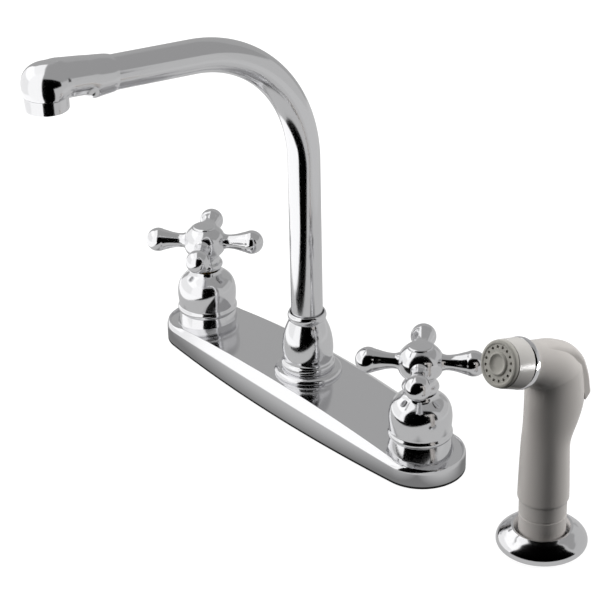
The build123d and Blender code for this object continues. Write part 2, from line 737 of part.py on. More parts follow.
with BuildPart() as cross_blank:
    add(hub_blank)
    with PolarLocations(0, 4, start_angle=45):
        with Locations((0, 0, ARM_Z)):
            add(arm_blank.part)
    with Locations((0, 0, HANDLE_BOTTOM)):
        Cylinder(STEM_R + THREAD, STEM_SHOULDER - HANDLE_BOTTOM, mode=Mode.SUBTRACT,
                 align=(Align.CENTER, Align.CENTER, Align.MIN))
        Cylinder(stem_hole, BROACH_TOP - HANDLE_BOTTOM + 0.4, mode=Mode.SUBTRACT,
                 align=(Align.CENTER, Align.CENTER, Align.MIN))
        Cylinder(SCREW_R + 0.2, HUB_TOP - HANDLE_BOTTOM, mode=Mode.SUBTRACT,
                 align=(Align.CENTER, Align.CENTER, Align.MIN))
    with Locations((0, 0, SCREW_SEAT)):
        Cylinder(SCREW_HEAD_R + 0.5, HUB_TOP, mode=Mode.SUBTRACT,
                 align=(Align.CENTER, Align.CENTER, Align.MIN))
    with Locations((0, 0, HUB_TOP - CAP_RECESS)):
        Cylinder(CAP_R + THREAD, HUB_TOP, mode=Mode.SUBTRACT,
                 align=(Align.CENTER, Align.CENTER, Align.MIN))

with BuildPart() as left_cross_handle:
    with Locations(LEFT):
        add(cross_blank.part)
left_cross_handle.part.label = "left_cross_handle"
export_step(left_cross_handle.part, "parts/left_cross_handle.step")

with BuildPart() as right_cross_handle:
    with Locations(RIGHT):
        add(cross_blank.part)
right_cross_handle.part.label = "right_cross_handle"
export_step(right_cross_handle.part, "parts/right_cross_handle.step")

cap_seat = HUB_TOP - CAP_RECESS
plug_r = SCREW_HEAD_R + 0.5 - THREAD
plug_bottom = SCREW_SEAT + SCREW_HEAD_T + 0.3
cap_blank = turned(
    [(0, plug_bottom), (plug_r, plug_bottom), (plug_r, cap_seat), (CAP_R, cap_seat),
     (CAP_R, HUB_TOP + 0.1)],
    [(CAP_R, HUB_TOP + 0.1), (CAP_R - 0.35, HUB_TOP + 0.7), (5.2, HUB_TOP + 1.05), (2.6, HUB_TOP + 1.25),
     (0, HUB_TOP + 1.3)],
    [(0, HUB_TOP + 1.3)])

with BuildPart() as left_index_cap:
    with Locations(LEFT):
        add(cap_blank)
left_index_cap.part.label = "left_index_cap"
export_step(left_index_cap.part, "parts/left_index_cap.step")

with BuildPart() as right_index_cap:
    with Locations(RIGHT):
        add(cap_blank)
right_index_cap.part.label = "right_index_cap"
export_step(right_index_cap.part, "parts/right_index_cap.step")

screw_top = SCREW_SEAT + SCREW_HEAD_T
screw_turning = stepped([
    (0, screw_bottom), (SCREW_R, screw_bottom), (SCREW_R, SCREW_SEAT), (SCREW_HEAD_R, SCREW_SEAT),
    (SCREW_HEAD_R, screw_top), (0, screw_top),
])

with BuildPart() as screw_blank:
    add(screw_turning)
    with Locations((0, 0, screw_top)):
        Box(5.2, 0.9, 2.4, mode=Mode.SUBTRACT)
        Box(0.9, 5.2, 2.4, mode=Mode.SUBTRACT)

with BuildPart() as left_handle_screw:
    with Locations(LEFT):
        add(screw_blank.part)
left_handle_screw.part.label = "left_handle_screw"
export_step(left_handle_screw.part, "parts/left_handle_screw.step")

with BuildPart() as right_handle_screw:
    with Locations(RIGHT):
        add(screw_blank.part)
right_handle_screw.part.label = "right_handle_screw"
export_step(right_handle_screw.part, "parts/right_handle_screw.step")

# Mounting hardware under the deck
nut_top = -DECK_T - WASHER_T
washer_blank = ring(WASHER_R, SHANK_R + PASS, nut_top, -DECK_T)
nut_blank = hex_nut(NUT_FLATS, SHANK_R + THREAD, nut_top - NUT_T, nut_top)

with BuildPart() as mounting_washers:
    with Locations(LEFT, RIGHT):
        add(washer_blank)
mounting_washers.part.label = "mounting_washers"
export_step(mounting_washers.part, "parts/mounting_washers.step")

with BuildPart() as mounting_nuts:
    with Locations(LEFT, RIGHT):
        add(nut_blank)
mounting_nuts.part.label = "mounting_nuts"
export_step(mounting_nuts.part, "parts/mounting_nuts.step")

# Spout flange and bell nut
flange_turning = turned(
    [(POST_NECK_R + PASS, FLANGE_SEAT), (FLANGE_R - 0.7, FLANGE_SEAT)],
    [(FLANGE_R - 0.7, FLANGE_SEAT), (FLANGE_R, FLANGE_SEAT + 1.2), (FLANGE_R - 0.5, FLANGE_SEAT + 2.4),
     (FLANGE_R - 2.0, FLANGE_TOP - 0.3), (FLANGE_R - 3.6, FLANGE_TOP)],
    [(FLANGE_R - 3.6, FLANGE_TOP), (POST_NECK_R + PASS, FLANGE_TOP)])

with BuildPart() as spout_flange:
    add(flange_turning)
spout_flange.part.label = "spout_flange"
export_step(spout_flange.part, "parts/spout_flange.step")

retainer_bottom = POST_TOP + FERRULE_FLANGE_T
retainer_top = retainer_bottom + RETAINER_T
shoulder = retainer_top + 0.1
nut_curve = fitted([
    (0.9264, 0.0000), (0.9847, 0.0191), (1.0000, 0.0546), (0.9816, 0.0956), (0.9233, 0.1257),
    (0.9080, 0.1585), (0.9264, 0.2186), (0.9460, 0.3060), (0.9387, 0.4153), (0.9049, 0.5355),
    (0.8436, 0.6503), (0.7638, 0.7486), (0.6840, 0.8306), (0.6656, 0.8579), (0.6871, 0.8825),
    (0.7117, 0.9180), (0.7086, 0.9563), (0.6810, 0.9863), (0.6503, 1.0000),
], BELL_NUT_R, FLANGE_TOP + 0.4, BELL_NUT_TOP)
bell_nut_turning = turned(
    [(POST_NECK_R + THREAD, FLANGE_TOP), (nut_curve[0][0], FLANGE_TOP), nut_curve[0]],
    nut_curve,
    [nut_curve[-1], (BELL_NUT_HOLE_R, BELL_NUT_TOP - 0.5), (BELL_NUT_HOLE_R, shoulder),
     (RETAINER_R + PASS, shoulder), (RETAINER_R + PASS, POST_TOP), (POST_NECK_R + THREAD, POST_TOP)])

with BuildPart() as spout_bell:
    add(bell_nut_turning)
spout_bell.part.label = "spout_bell"
export_step(spout_bell.part, "parts/spout_bell.step")

# Spout ferrule, seals and retaining ring
ferrule_r = SOCKET_R - RUN
spigot_r = SPOUT_R - SPOUT_WALL - THREAD
groove_half = SEAL_WIRE_R + 0.15
ferrule_outline = [(FERRULE_BORE_R, FERRULE_BOTTOM), (ferrule_r, FERRULE_BOTTOM)]
for level in SEAL_LEVELS:
    ferrule_outline += [(ferrule_r, level - groove_half), (SEAL_GROOVE_R, level - groove_half),
                        (SEAL_GROOVE_R, level + groove_half), (ferrule_r, level + groove_half)]
ferrule_outline += [
    (ferrule_r, POST_TOP), (FERRULE_FLANGE_R, POST_TOP), (FERRULE_FLANGE_R, retainer_bottom),
    (spigot_r, retainer_bottom), (spigot_r, retainer_bottom + FERRULE_SPIGOT),
    (FERRULE_BORE_R, retainer_bottom + FERRULE_SPIGOT),
]
ferrule_turning = stepped(ferrule_outline)

with BuildPart() as spout_ferrule:
    add(ferrule_turning)
spout_ferrule.part.label = "spout_ferrule"
export_step(spout_ferrule.part, "parts/spout_ferrule.step")

seal_rings = [o_ring(SOCKET_R - 0.02 - SEAL_WIRE_R, SEAL_WIRE_R, level) for level in SEAL_LEVELS]

with BuildPart() as spout_o_rings:
    add(seal_rings)
spout_o_rings.part.label = "spout_o_rings"
export_step(spout_o_rings.part, "parts/spout_o_rings.step")

retainer_blank = ring(RETAINER_R, SPOUT_R + 0.08, retainer_bottom, retainer_top)

with BuildPart() as spout_retaining_ring:
    add(retainer_blank)
spout_retaining_ring.part.label = "spout_retaining_ring"
export_step(spout_retaining_ring.part, "parts/spout_retaining_ring.step")

# Spout tube: up, round the bend and forward along the rising arm
rise = radians(SPOUT_RISE)
arm_dir = (0, -cos(rise), sin(rise))
bend_tangent = SPOUT_BEND_R * tan((radians(90) - rise) / 2)
bend_start = SPOUT_CORNER_Z - bend_tangent
bend_end = (0, -bend_tangent * cos(rise), SPOUT_CORNER_Z + bend_tangent * sin(rise))
arm_end = (0, -SPOUT_END * cos(rise), SPOUT_CORNER_Z + SPOUT_END * sin(rise))

with BuildPart() as spout_tube:
    with BuildLine() as spout_path:
        Line((0, 0, retainer_bottom), (0, 0, bend_start))
        TangentArc((0, 0, bend_start), bend_end, tangent=(0, 0, 1))
        Line(bend_end, arm_end)
    with BuildSketch(Plane.XY.offset(retainer_bottom)):
        Circle(SPOUT_R)
        Circle(SPOUT_R - SPOUT_WALL, mode=Mode.SUBTRACT)
    sweep(path=spout_path.line)
spout_tube.part.label = "spout_tube"
export_step(spout_tube.part, "parts/spout_tube.step")

# Spout nozzle: coned collar on the arm, head tilted up a little, domed outlet over the aerator
corner = (0, 0, SPOUT_CORNER_Z)
arm_plane = Plane(corner, x_dir=arm_dir, z_dir=(-1, 0, 0))
tilt = rise + radians(HEAD_TILT)
head_dir = (0, -cos(tilt), sin(tilt))
head_origin = (0, -HEAD_START * cos(rise) + HEAD_OFFSET * sin(rise),
               SPOUT_CORNER_Z + HEAD_START * sin(rise) + HEAD_OFFSET * cos(rise))
head_plane = Plane(head_origin, x_dir=head_dir, z_dir=(-1, 0, 0))
bore_top = AERATOR_TOP + AERATOR_SPIGOT + AERATOR_WASHER_T
wall_top = AERATOR_TOP + OUTLET_WALL
outlet_turning = turned(
    [(0, AERATOR_TOP), (OUTLET_R, AERATOR_TOP), (OUTLET_R, wall_top)],
    [(OUTLET_R, wall_top), (OUTLET_R * 0.924, wall_top + OUTLET_DOME * 0.383),
     (OUTLET_R * 0.707, wall_top + OUTLET_DOME * 0.707), (OUTLET_R * 0.383, wall_top + OUTLET_DOME * 0.924),
     (0, wall_top + OUTLET_DOME)],
    [(0, wall_top + OUTLET_DOME)])

with BuildPart() as spout_nozzle:
    with BuildSketch(arm_plane):
        with BuildLine():
            Polyline((COLLAR_START, 0), (COLLAR_START, COLLAR_START_R), (COLLAR_END - 1.4, COLLAR_END_R))
            ThreePointArc((COLLAR_END - 1.4, COLLAR_END_R), (COLLAR_END - 0.4, COLLAR_END_R - 0.4),
                          (COLLAR_END, COLLAR_END_R - 1.4))
            Polyline((COLLAR_END, COLLAR_END_R - 1.4), (COLLAR_END, 0), (COLLAR_START, 0))
        make_face()
    revolve(axis=Axis(corner, arm_dir))
    with BuildSketch(head_plane):
        with BuildLine():
            Polyline((-6, 0), (-6, HEAD_START_R), (0, HEAD_START_R), (HEAD_LENGTH, HEAD_R))
            EllipticalCenterArc((HEAD_LENGTH, 0), DOME_LENGTH, HEAD_R, start_angle=0, arc_size=90)
            Line((HEAD_LENGTH + DOME_LENGTH, 0), (-6, 0))
        make_face()
    revolve(axis=Axis(head_origin, head_dir))
    with Locations((0, OUTLET_Y, 0)):
        add(outlet_turning)
    with Locations((0, OUTLET_Y, AERATOR_TOP)):
        Cylinder(OUTLET_R, HEAD_LENGTH / 2, align=(Align.CENTER, Align.CENTER, Align.MAX), mode=Mode.SUBTRACT)
    with BuildSketch(arm_plane):
        with BuildLine():
            Polyline((COLLAR_START - 5, 0), (COLLAR_START - 5, SPOUT_R + THREAD),
                     (SPOUT_END, SPOUT_R + THREAD), (SPOUT_END, ARM_BORE_R), (ARM_BORE_END, ARM_BORE_R),
                     (ARM_BORE_END, 0), close=True)
        make_face()
    revolve(axis=Axis(corner, arm_dir), mode=Mode.SUBTRACT)
    with Locations((0, OUTLET_Y, AERATOR_TOP)):
        Cylinder(AERATOR_SPIGOT_R + THREAD, bore_top - AERATOR_TOP, mode=Mode.SUBTRACT,
                 align=(Align.CENTER, Align.CENTER, Align.MIN))
spout_nozzle.part.label = "spout_nozzle"
export_step(spout_nozzle.part, "parts/spout_nozzle.step")

# Aerator
insert_bottom = AERATOR_BOTTOM + AERATOR_LIP
screen_bottom = insert_bottom + INSERT_T
spigot_top = AERATOR_TOP + AERATOR_SPIGOT
aerator_place = Location((0, OUTLET_Y, 0))
aerator_turning = stepped([
    (AERATOR_LIP_R, AERATOR_BOTTOM), (AERATOR_R - 0.7, AERATOR_BOTTOM), (AERATOR_R, AERATOR_BOTTOM + 0.7),
    (AERATOR_R, AERATOR_TOP), (AERATOR_SPIGOT_R, AERATOR_TOP), (AERATOR_SPIGOT_R, spigot_top),
    (AERATOR_BORE_R, spigot_top), (AERATOR_BORE_R, insert_bottom), (AERATOR_LIP_R, insert_bottom),
])
screen_turning = stepped([(0, screen_bottom), (AERATOR_BORE_R - THREAD, screen_bottom),
                          (AERATOR_BORE_R - THREAD, screen_bottom + SCREEN_T), (0, screen_bottom + SCREEN_T)])
aerator_seal = ring(AERATOR_SPIGOT_R - 0.1, 6.5, spigot_top, bore_top)

with BuildPart() as aerator_housing:
    with Locations(aerator_place):
        add(aerator_turning)
aerator_housing.part.label = "aerator_housing"
export_step(aerator_housing.part, "parts/aerator_housing.step")

with BuildPart() as aerator_insert:
    with Locations((0, OUTLET_Y, insert_bottom)):
        Cylinder(AERATOR_BORE_R - THREAD, INSERT_T, align=(Align.CENTER, Align.CENTER, Align.MIN))
        with PolarLocations(5.4, 10):
            Hole(1.1)
        with PolarLocations(2.6, 5):
            Hole(1.0)
aerator_insert.part.label = "aerator_insert"
export_step(aerator_insert.part, "parts/aerator_insert.step")

with BuildPart() as aerator_screen:
    with Locations(aerator_place):
        add(screen_turning)
aerator_screen.part.label = "aerator_screen"
export_step(aerator_screen.part, "parts/aerator_screen.step")

with BuildPart() as aerator_washer:
    with Locations(aerator_place):
        add(aerator_seal)
aerator_washer.part.label = "aerator_washer"
export_step(aerator_washer.part, "parts/aerator_washer.step")

# Sprayer holder with its washer and nut
foot_bore = GRIP_FOOT_R + GAP
holder_turning = turned(
    [(HOLDER_BORE_R, HOLDER_SHANK_BOTTOM), (HOLDER_SHANK_R, HOLDER_SHANK_BOTTOM), (HOLDER_SHANK_R, 0),
     (HOLDER_R - 2.0, 0)],
    [(HOLDER_R - 2.0, 0), (HOLDER_R - 0.8, 0.7), (HOLDER_R - 0.15, 1.8), (HOLDER_R, 3.0),
     (HOLDER_R - 0.4, 4.6), (HOLDER_R - 1.7, 6.4), (HOLDER_R - 3.7, 8.2), (HOLDER_R - 5.7, 9.8), (17.6, 10.9),
     (16.9, HOLDER_HEIGHT)],
    [(16.9, HOLDER_HEIGHT), (HOLDER_MOUTH_R, HOLDER_HEIGHT - 0.2), (foot_bore, 8.6),
     (foot_bore, HOLDER_SHELF), (HOLDER_BORE_R, HOLDER_SHELF)])
holder_nut_top = -DECK_T - WASHER_T
holder_washer_blank = ring(HOLDER_WASHER_R, HOLDER_SHANK_R + PASS, holder_nut_top, -DECK_T)
holder_nut_blank = hex_nut(HOLDER_NUT_FLATS, HOLDER_SHANK_R + THREAD, holder_nut_top - HOLDER_NUT_T,
                           holder_nut_top)

with BuildPart() as sprayer_holder:
    with Locations(GRIP):
        add(holder_turning)
sprayer_holder.part.label = "sprayer_holder"
export_step(sprayer_holder.part, "parts/sprayer_holder.step")

with BuildPart() as holder_washer:
    with Locations(GRIP):
        add(holder_washer_blank)
holder_washer.part.label = "holder_washer"
export_step(holder_washer.part, "parts/holder_washer.step")

with BuildPart() as holder_nut:
    with Locations(GRIP):
        add(holder_nut_blank)
holder_nut.part.label = "holder_nut"
export_step(holder_nut.part, "parts/holder_nut.step")

# Hose coupling inside the sprayer's foot
coupling_turning = stepped([
    (COUPLING_BORE_R, HOSE_NIPPLE_BOTTOM), (HOSE_NIPPLE_R, HOSE_NIPPLE_BOTTOM),
    (HOSE_NIPPLE_R, COUPLING_BOTTOM), (COUPLING_R, COUPLING_BOTTOM), (COUPLING_R, HOLDER_SHELF),
    (COUPLING_SPIGOT_R, HOLDER_SHELF), (COUPLING_SPIGOT_R, COUPLING_SPIGOT_TOP),
    (COUPLING_BORE_R, COUPLING_SPIGOT_TOP),
])
washer_top = COUPLING_SPIGOT_TOP + COUPLING_WASHER_T
coupling_seal = ring(COUPLING_SPIGOT_R - 0.1, WATERWAY_R, COUPLING_SPIGOT_TOP, washer_top)

with BuildPart() as hose_coupling:
    with Locations(GRIP):
        add(coupling_turning)
hose_coupling.part.label = "hose_coupling"
export_step(hose_coupling.part, "parts/hose_coupling.step")

with BuildPart() as coupling_washer:
    with Locations(GRIP):
        add(coupling_seal)
coupling_washer.part.label = "coupling_washer"
export_step(coupling_washer.part, "parts/coupling_washer.step")


# Sprayer shell: turned grip, round head, and an oval back cut to the side view of the elbow
grip_top = GRIP_STEP_Z + GRIP_STEP_H
grip_turning = stepped([
    (0, HOLDER_SHELF), (GRIP_FOOT_R - 0.6, HOLDER_SHELF), (GRIP_FOOT_R, HOLDER_SHELF + 0.6),
    (GRIP_FOOT_R, 19.4), (GRIP_FOOT_R - 0.35, 19.8), (GRIP_FOOT_R - 0.35, 20.4), (GRIP_FOOT_R, 20.8),
    (GRIP_FOOT_R, GRIP_STEP_Z), (GRIP_R, grip_top), (GRIP_TOP_R, GRIP_TOP), (0, GRIP_TOP),
])
back_outline = [
    (12.0, 62.5), (14.4, 68.0), (17.4, 72.5), (20.2, 77.0), (22.6, 83.0), (23.6, 90.0), (22.9, 97.0),
    (20.6, 105.0), (16.8, 112.5), (11.6, 119.0), (5.0, 124.0), (-2.0, 127.0),
]
elbow_points = [(SPRAYER_Y + y, z) for y, z in back_outline]
head_back = -(ELBOW_DEPTH / 2 - HEAD_Y) / cos(radians(HEAD_PITCH))

with BuildPart() as head_blank:
    with Locations((0, 0, head_back)):
        Cone(SHELL_HEAD_R, SHELL_NECK_R, SHELL_FACE - head_back,
             align=(Align.CENTER, Align.CENTER, Align.MIN))
    fillet(head_blank.edges().sort_by(Axis.Z)[0], HEAD_BACK_ROUND)

with BuildPart() as elbow_blank:
    with BuildSketch(Plane((SPRAYER_X, SPRAYER_Y + ELBOW_Y, 60))):
        Ellipse(SHELL_HALF_WIDTH, ELBOW_DEPTH / 2)
    extrude(amount=80)
    with BuildSketch(Plane((SPRAYER_X, 0, 0), x_dir=(0, 1, 0), z_dir=(1, 0, 0))):
        with BuildLine():
            Spline(*elbow_points)
            Polyline(elbow_points[-1], (SPRAYER_Y - 6, elbow_points[-1][1] - 2),
                     (SPRAYER_Y - 6, elbow_points[0][1]), elbow_points[0])
        make_face()
    extrude(amount=SHELL_HALF_WIDTH + 5, both=True, mode=Mode.INTERSECT)

chamber_cut = stepped([
    (0, REAR_CHAMBER_BACK), (REAR_CHAMBER_R, REAR_CHAMBER_BACK), (REAR_CHAMBER_R, VALVE_CHAMBER_BACK),
    (VALVE_CHAMBER_R, VALVE_CHAMBER_BACK), (VALVE_CHAMBER_R, COLLAR_SPIGOT_BACK),
    (COLLAR_SPIGOT_R + THREAD, COLLAR_SPIGOT_BACK), (COLLAR_SPIGOT_R + THREAD, SHELL_FACE + 1),
    (0, SHELL_FACE + 1),
])
rod_cut = stepped([(0, PLUNGER_TAIL - 12), (PLUNGER_R + RUN, PLUNGER_TAIL - 12),
                   (PLUNGER_R + RUN, REAR_CHAMBER_BACK + 1), (0, REAR_CHAMBER_BACK + 1)])
water_cut = stepped([
    (0, HOLDER_SHELF - 1), (COUPLING_SPIGOT_R + RUN, HOLDER_SHELF - 1),
    (COUPLING_SPIGOT_R + RUN, washer_top), (WATERWAY_R, washer_top), (WATERWAY_R, 112), (0, 112),
])
lever_slot = [
    (-2.9, 134), (-2.9, 120.6), (-0.5, 118.2), (3.6, 117.2), (7.4, 112.8), (10.6, 107.2), (12.8, 100.8),
    (13.7, 94.5), (14.2, 83.2), (36, 83.2), (36, 134),
]
slot_points = [(SPRAYER_Y + y, z) for y, z in lever_slot]
pivot_plane = Plane((SPRAYER_X, SPRAYER_Y + PIVOT_Y, PIVOT_Z), x_dir=(0, 1, 0), z_dir=(1, 0, 0))

with BuildPart() as sprayer_shell:
    with Locations(GRIP):
        add(grip_turning)
    with Locations(HEAD):
        add(head_blank.part)
    add(elbow_blank.part)
    with Locations(GRIP):
        add(water_cut, mode=Mode.SUBTRACT)
    with Locations(HEAD):
        add(chamber_cut, mode=Mode.SUBTRACT)
        add(rod_cut, mode=Mode.SUBTRACT)
    with BuildSketch(Plane((SPRAYER_X, 0, 0), x_dir=(0, 1, 0), z_dir=(1, 0, 0))):
        with BuildLine():
            Polyline(*slot_points, close=True)
        make_face()
    extrude(amount=LEVER_HALF_WIDTH + GAP, both=True, mode=Mode.SUBTRACT)
    with BuildSketch(pivot_plane):
        Circle(PIN_R)
    extrude(amount=PIN_HALF_LENGTH, both=True, mode=Mode.SUBTRACT)
sprayer_shell.part.label = "sprayer_shell"
export_step(sprayer_shell.part, "parts/sprayer_shell.step")

# Trigger lever and its pin
lever_back = [
    (-1.2, 126.4), (2.0, 127.9), (5.5, 126.7), (11.6, 122.7), (16.6, 117.6), (20.6, 110.5),
    (23.6, 103.0), (25.4, 97.0), (26.8, 90.6),
]
lever_front = [
    (26.8, 90.6), (20.5, 86.5), (18.6, 97.0), (16.9, 103.0), (13.8, 109.3), (9.8, 114.8), (5.2, 118.9),
    (2.0, 119.2), (-1.8, 120.9), (-1.2, 126.4),
]
back_points = [(SPRAYER_Y + y, z) for y, z in lever_back]
front_points = [(SPRAYER_Y + y, z) for y, z in lever_front]

with BuildPart() as trigger_lever:
    with BuildSketch(Plane((SPRAYER_X, 0, 0), x_dir=(0, 1, 0), z_dir=(1, 0, 0))):
        with BuildLine():
            Spline(*back_points)
            Polyline(*front_points)
        make_face()
    extrude(amount=LEVER_HALF_WIDTH, both=True)
    back_face = trigger_lever.faces().sort_by(Axis.Y)[-1]
    fillet(back_face.edges().filter_by(lambda e: abs(e.center().X - SPRAYER_X) > 1), LEVER_EDGE_R)
    with BuildSketch(pivot_plane):
        Circle(PIN_R + RUN)
    extrude(amount=LEVER_HALF_WIDTH + 1, both=True, mode=Mode.SUBTRACT)
trigger_lever.part.label = "trigger_lever"
export_step(trigger_lever.part, "parts/trigger_lever.step")

with BuildPart() as trigger_pin:
    with BuildSketch(pivot_plane):
        Circle(PIN_R)
    extrude(amount=PIN_HALF_LENGTH, both=True)
trigger_pin.part.label = "trigger_pin"
export_step(trigger_pin.part, "parts/trigger_pin.step")

# Sprayer valve: seat, plunger and spring
seat_front = VALVE_CHAMBER_BACK + VALVE_SEAT_T
seat_blank = ring(VALVE_CHAMBER_R - THREAD, VALVE_SEAT_HOLE_R, VALVE_CHAMBER_BACK, seat_front)

with BuildPart() as valve_seat:
    with Locations(HEAD):
        add(seat_blank)
valve_seat.part.label = "valve_seat"
export_step(valve_seat.part, "parts/valve_seat.step")

disc_front = seat_front + PLUNGER_DISC_T
plunger_turning = stepped([
    (0, PLUNGER_TAIL), (PLUNGER_R, PLUNGER_TAIL), (PLUNGER_R, seat_front), (PLUNGER_DISC_R, seat_front),
    (PLUNGER_DISC_R, disc_front), (PILOT_R, disc_front), (PILOT_R, PILOT_FRONT), (0, PILOT_FRONT),
])

with BuildPart() as plunger_blank:
    add(plunger_turning)
    with Locations((0, 0, PLUNGER_TAIL)):
        Sphere(PLUNGER_R)

with BuildPart() as valve_plunger:
    with Locations(HEAD):
        add(plunger_blank.part)
valve_plunger.part.label = "valve_plunger"
export_step(valve_plunger.part, "parts/valve_plunger.step")

spring_length = SPRING_WALL - disc_front - 2 * SPRING_WIRE_R

with BuildPart() as spring_blank:
    with BuildLine() as coil:
        Helix(spring_length / SPRING_TURNS, spring_length, SPRING_R,
              center=(0, 0, disc_front + SPRING_WIRE_R))
    with BuildSketch(Plane(origin=coil.line @ 0, z_dir=coil.line % 0)):
        Circle(SPRING_WIRE_R)
    sweep(path=coil.line, is_frenet=True)

with BuildPart() as valve_spring:
    with Locations(HEAD):
        add(spring_blank.part)
valve_spring.part.label = "valve_spring"
export_step(valve_spring.part, "parts/valve_spring.step")

# Sprayer head: trim ring, collar and spray face
trim_turning = turned(
    [(COLLAR_SPIGOT_R + THREAD, SHELL_FACE), (TRIM_R - 0.7, SHELL_FACE)],
    [(TRIM_R - 0.7, SHELL_FACE), (TRIM_R - 0.1, SHELL_FACE + 0.5), (TRIM_R, SHELL_FACE + 1.2),
     (TRIM_R - 0.1, TRIM_FRONT - 0.5), (TRIM_R - 0.7, TRIM_FRONT)],
    [(TRIM_R - 0.7, TRIM_FRONT), (COLLAR_SPIGOT_R + THREAD, TRIM_FRONT)])

with BuildPart() as head_trim_ring:
    with Locations(HEAD):
        add(trim_turning)
head_trim_ring.part.label = "head_trim_ring"
export_step(head_trim_ring.part, "parts/head_trim_ring.step")

wall_front = SPRING_WALL + SPRING_WALL_T
front_bore = FACE_PLUG_R + THREAD
collar_turning = stepped([
    (VALVE_CHAMBER_R - 0.4, COLLAR_SPIGOT_BACK), (COLLAR_SPIGOT_R, COLLAR_SPIGOT_BACK),
    (COLLAR_SPIGOT_R, TRIM_FRONT), (SPRAY_COLLAR_R, TRIM_FRONT),
    (SPRAY_COLLAR_R - 0.8, SPRAY_COLLAR_FRONT), (front_bore, SPRAY_COLLAR_FRONT),
    (front_bore, TRIM_FRONT + 2), (VALVE_CHAMBER_R - 0.4, TRIM_FRONT + 2), (VALVE_CHAMBER_R - 0.4, wall_front),
    (PILOT_R + GAP, wall_front), (PILOT_R + GAP, SPRING_WALL),
    (VALVE_CHAMBER_R - 0.4, SPRING_WALL),
])

with BuildPart() as collar_blank:
    add(collar_turning)
    with Locations((0, 0, wall_front)):
        with PolarLocations(5.4, 6):
            Hole(1.1)

with BuildPart() as spray_collar:
    with Locations(HEAD):
        add(collar_blank.part)
spray_collar.part.label = "spray_collar"
export_step(spray_collar.part, "parts/spray_collar.step")

face_turning = turned(
    [(0, FACE_PLUG_BACK), (FACE_PLUG_R, FACE_PLUG_BACK), (FACE_PLUG_R, SPRAY_COLLAR_FRONT),
     (FACE_R, SPRAY_COLLAR_FRONT), (FACE_R, FACE_FRONT - 1.1)],
    [(FACE_R, FACE_FRONT - 1.1), (FACE_R - 0.25, FACE_FRONT - 0.5), (FACE_R - 0.9, FACE_FRONT - 0.1),
     (FACE_R - 1.8, FACE_FRONT)],
    [(FACE_R - 1.8, FACE_FRONT), (FACE_R - 2.3, FACE_FRONT - 0.4), (6.4, FACE_FRONT - 0.4),
     (5.9, FACE_FRONT + 0.5), (5.2, FACE_FRONT + 0.7), (4.7, FACE_FRONT + 0.3), (3.5, FACE_FRONT - 0.6),
     (0, FACE_FRONT - 0.9)])

with BuildPart() as face_blank:
    add(face_turning)
    with Locations((0, 0, FACE_FRONT)):
        with PolarLocations(SPRAY_PITCH_R, SPRAY_HOLES):
            Hole(SPRAY_HOLE_R)

with BuildPart() as spray_face:
    with Locations(HEAD):
        add(face_blank.part)
spray_face.part.label = "spray_face"
export_step(spray_face.part, "parts/spray_face.step")
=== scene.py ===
import json
import logging
import math
from dataclasses import dataclass
from enum import Enum

import bpy
import numpy as np
from mathutils import Matrix, Vector


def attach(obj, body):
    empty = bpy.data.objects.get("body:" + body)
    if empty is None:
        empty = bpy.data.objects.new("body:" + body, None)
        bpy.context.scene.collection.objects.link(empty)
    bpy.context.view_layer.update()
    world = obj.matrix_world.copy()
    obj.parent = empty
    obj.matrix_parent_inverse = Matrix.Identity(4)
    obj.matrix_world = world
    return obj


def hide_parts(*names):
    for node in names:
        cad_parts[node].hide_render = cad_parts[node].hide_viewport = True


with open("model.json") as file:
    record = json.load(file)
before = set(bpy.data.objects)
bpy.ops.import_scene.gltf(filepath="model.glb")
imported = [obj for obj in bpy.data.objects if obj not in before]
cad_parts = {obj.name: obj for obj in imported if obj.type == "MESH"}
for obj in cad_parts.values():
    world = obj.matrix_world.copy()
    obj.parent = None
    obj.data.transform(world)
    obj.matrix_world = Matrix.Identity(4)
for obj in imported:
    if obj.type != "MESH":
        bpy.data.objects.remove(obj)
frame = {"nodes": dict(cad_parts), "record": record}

# Kitchen faucet with a side sprayer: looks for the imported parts. Sizes are in millimetres and become
# metres when a mesh is made. The frame has its origin on the deck under the spout, X along the plate,
# -Y towards the user and +Z up.

LOG = logging.getLogger("faucet")
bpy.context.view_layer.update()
MM = 0.001
FULL_TURN = 2.0 * math.pi
SHARP_ANGLE = math.radians(32.0)
WELD_DISTANCE = 1e-7
REPEAT_DISTANCE = 1e-6
SPLIT_SLACK = 1e-12
ARC_ROOM = 0.45
COAT_ROUGHNESS = 0.08
BUMP_DISTANCE = 0.0001
HAIRLINE_SCALE = (60.0, 900.0, 1400.0)
HAIRLINE_TURN = (0.4, 0.9, 0.3)
RING_FLATTEN = 0.02
TARNISH_SCALE = 60.0
CAMERA_AZIMUTH = math.radians(51.0916)

Profile = list[tuple[float, float]]
Socket = bpy.types.NodeSocket


class Body(Enum):
    """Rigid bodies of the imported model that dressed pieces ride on."""

    BASE = "base"
    SPOUT = "spout"
    LEFT_HANDLE = "left_handle"
    RIGHT_HANDLE = "right_handle"
    SPRAYER = "sprayer"
    TRIGGER = "trigger"


class Slot(Enum):
    """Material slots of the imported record."""

    CHROME = "chrome"
    BRASS = "brass"
    COPPER = "copper"
    STEEL = "steel"
    RUBBER = "rubber"
    CERAMIC = "ceramic"
    SHELL = "shell_plastic"
    COLLAR = "collar_plastic"
    FACE = "face_plastic"
    NYLON = "nylon"


class Texture(Enum):
    """Surface pattern that a finish is given, by the name of its node group."""

    SKIN = "skin_variation"
    TURNED = "turned_marks"


# Numpy surfaces


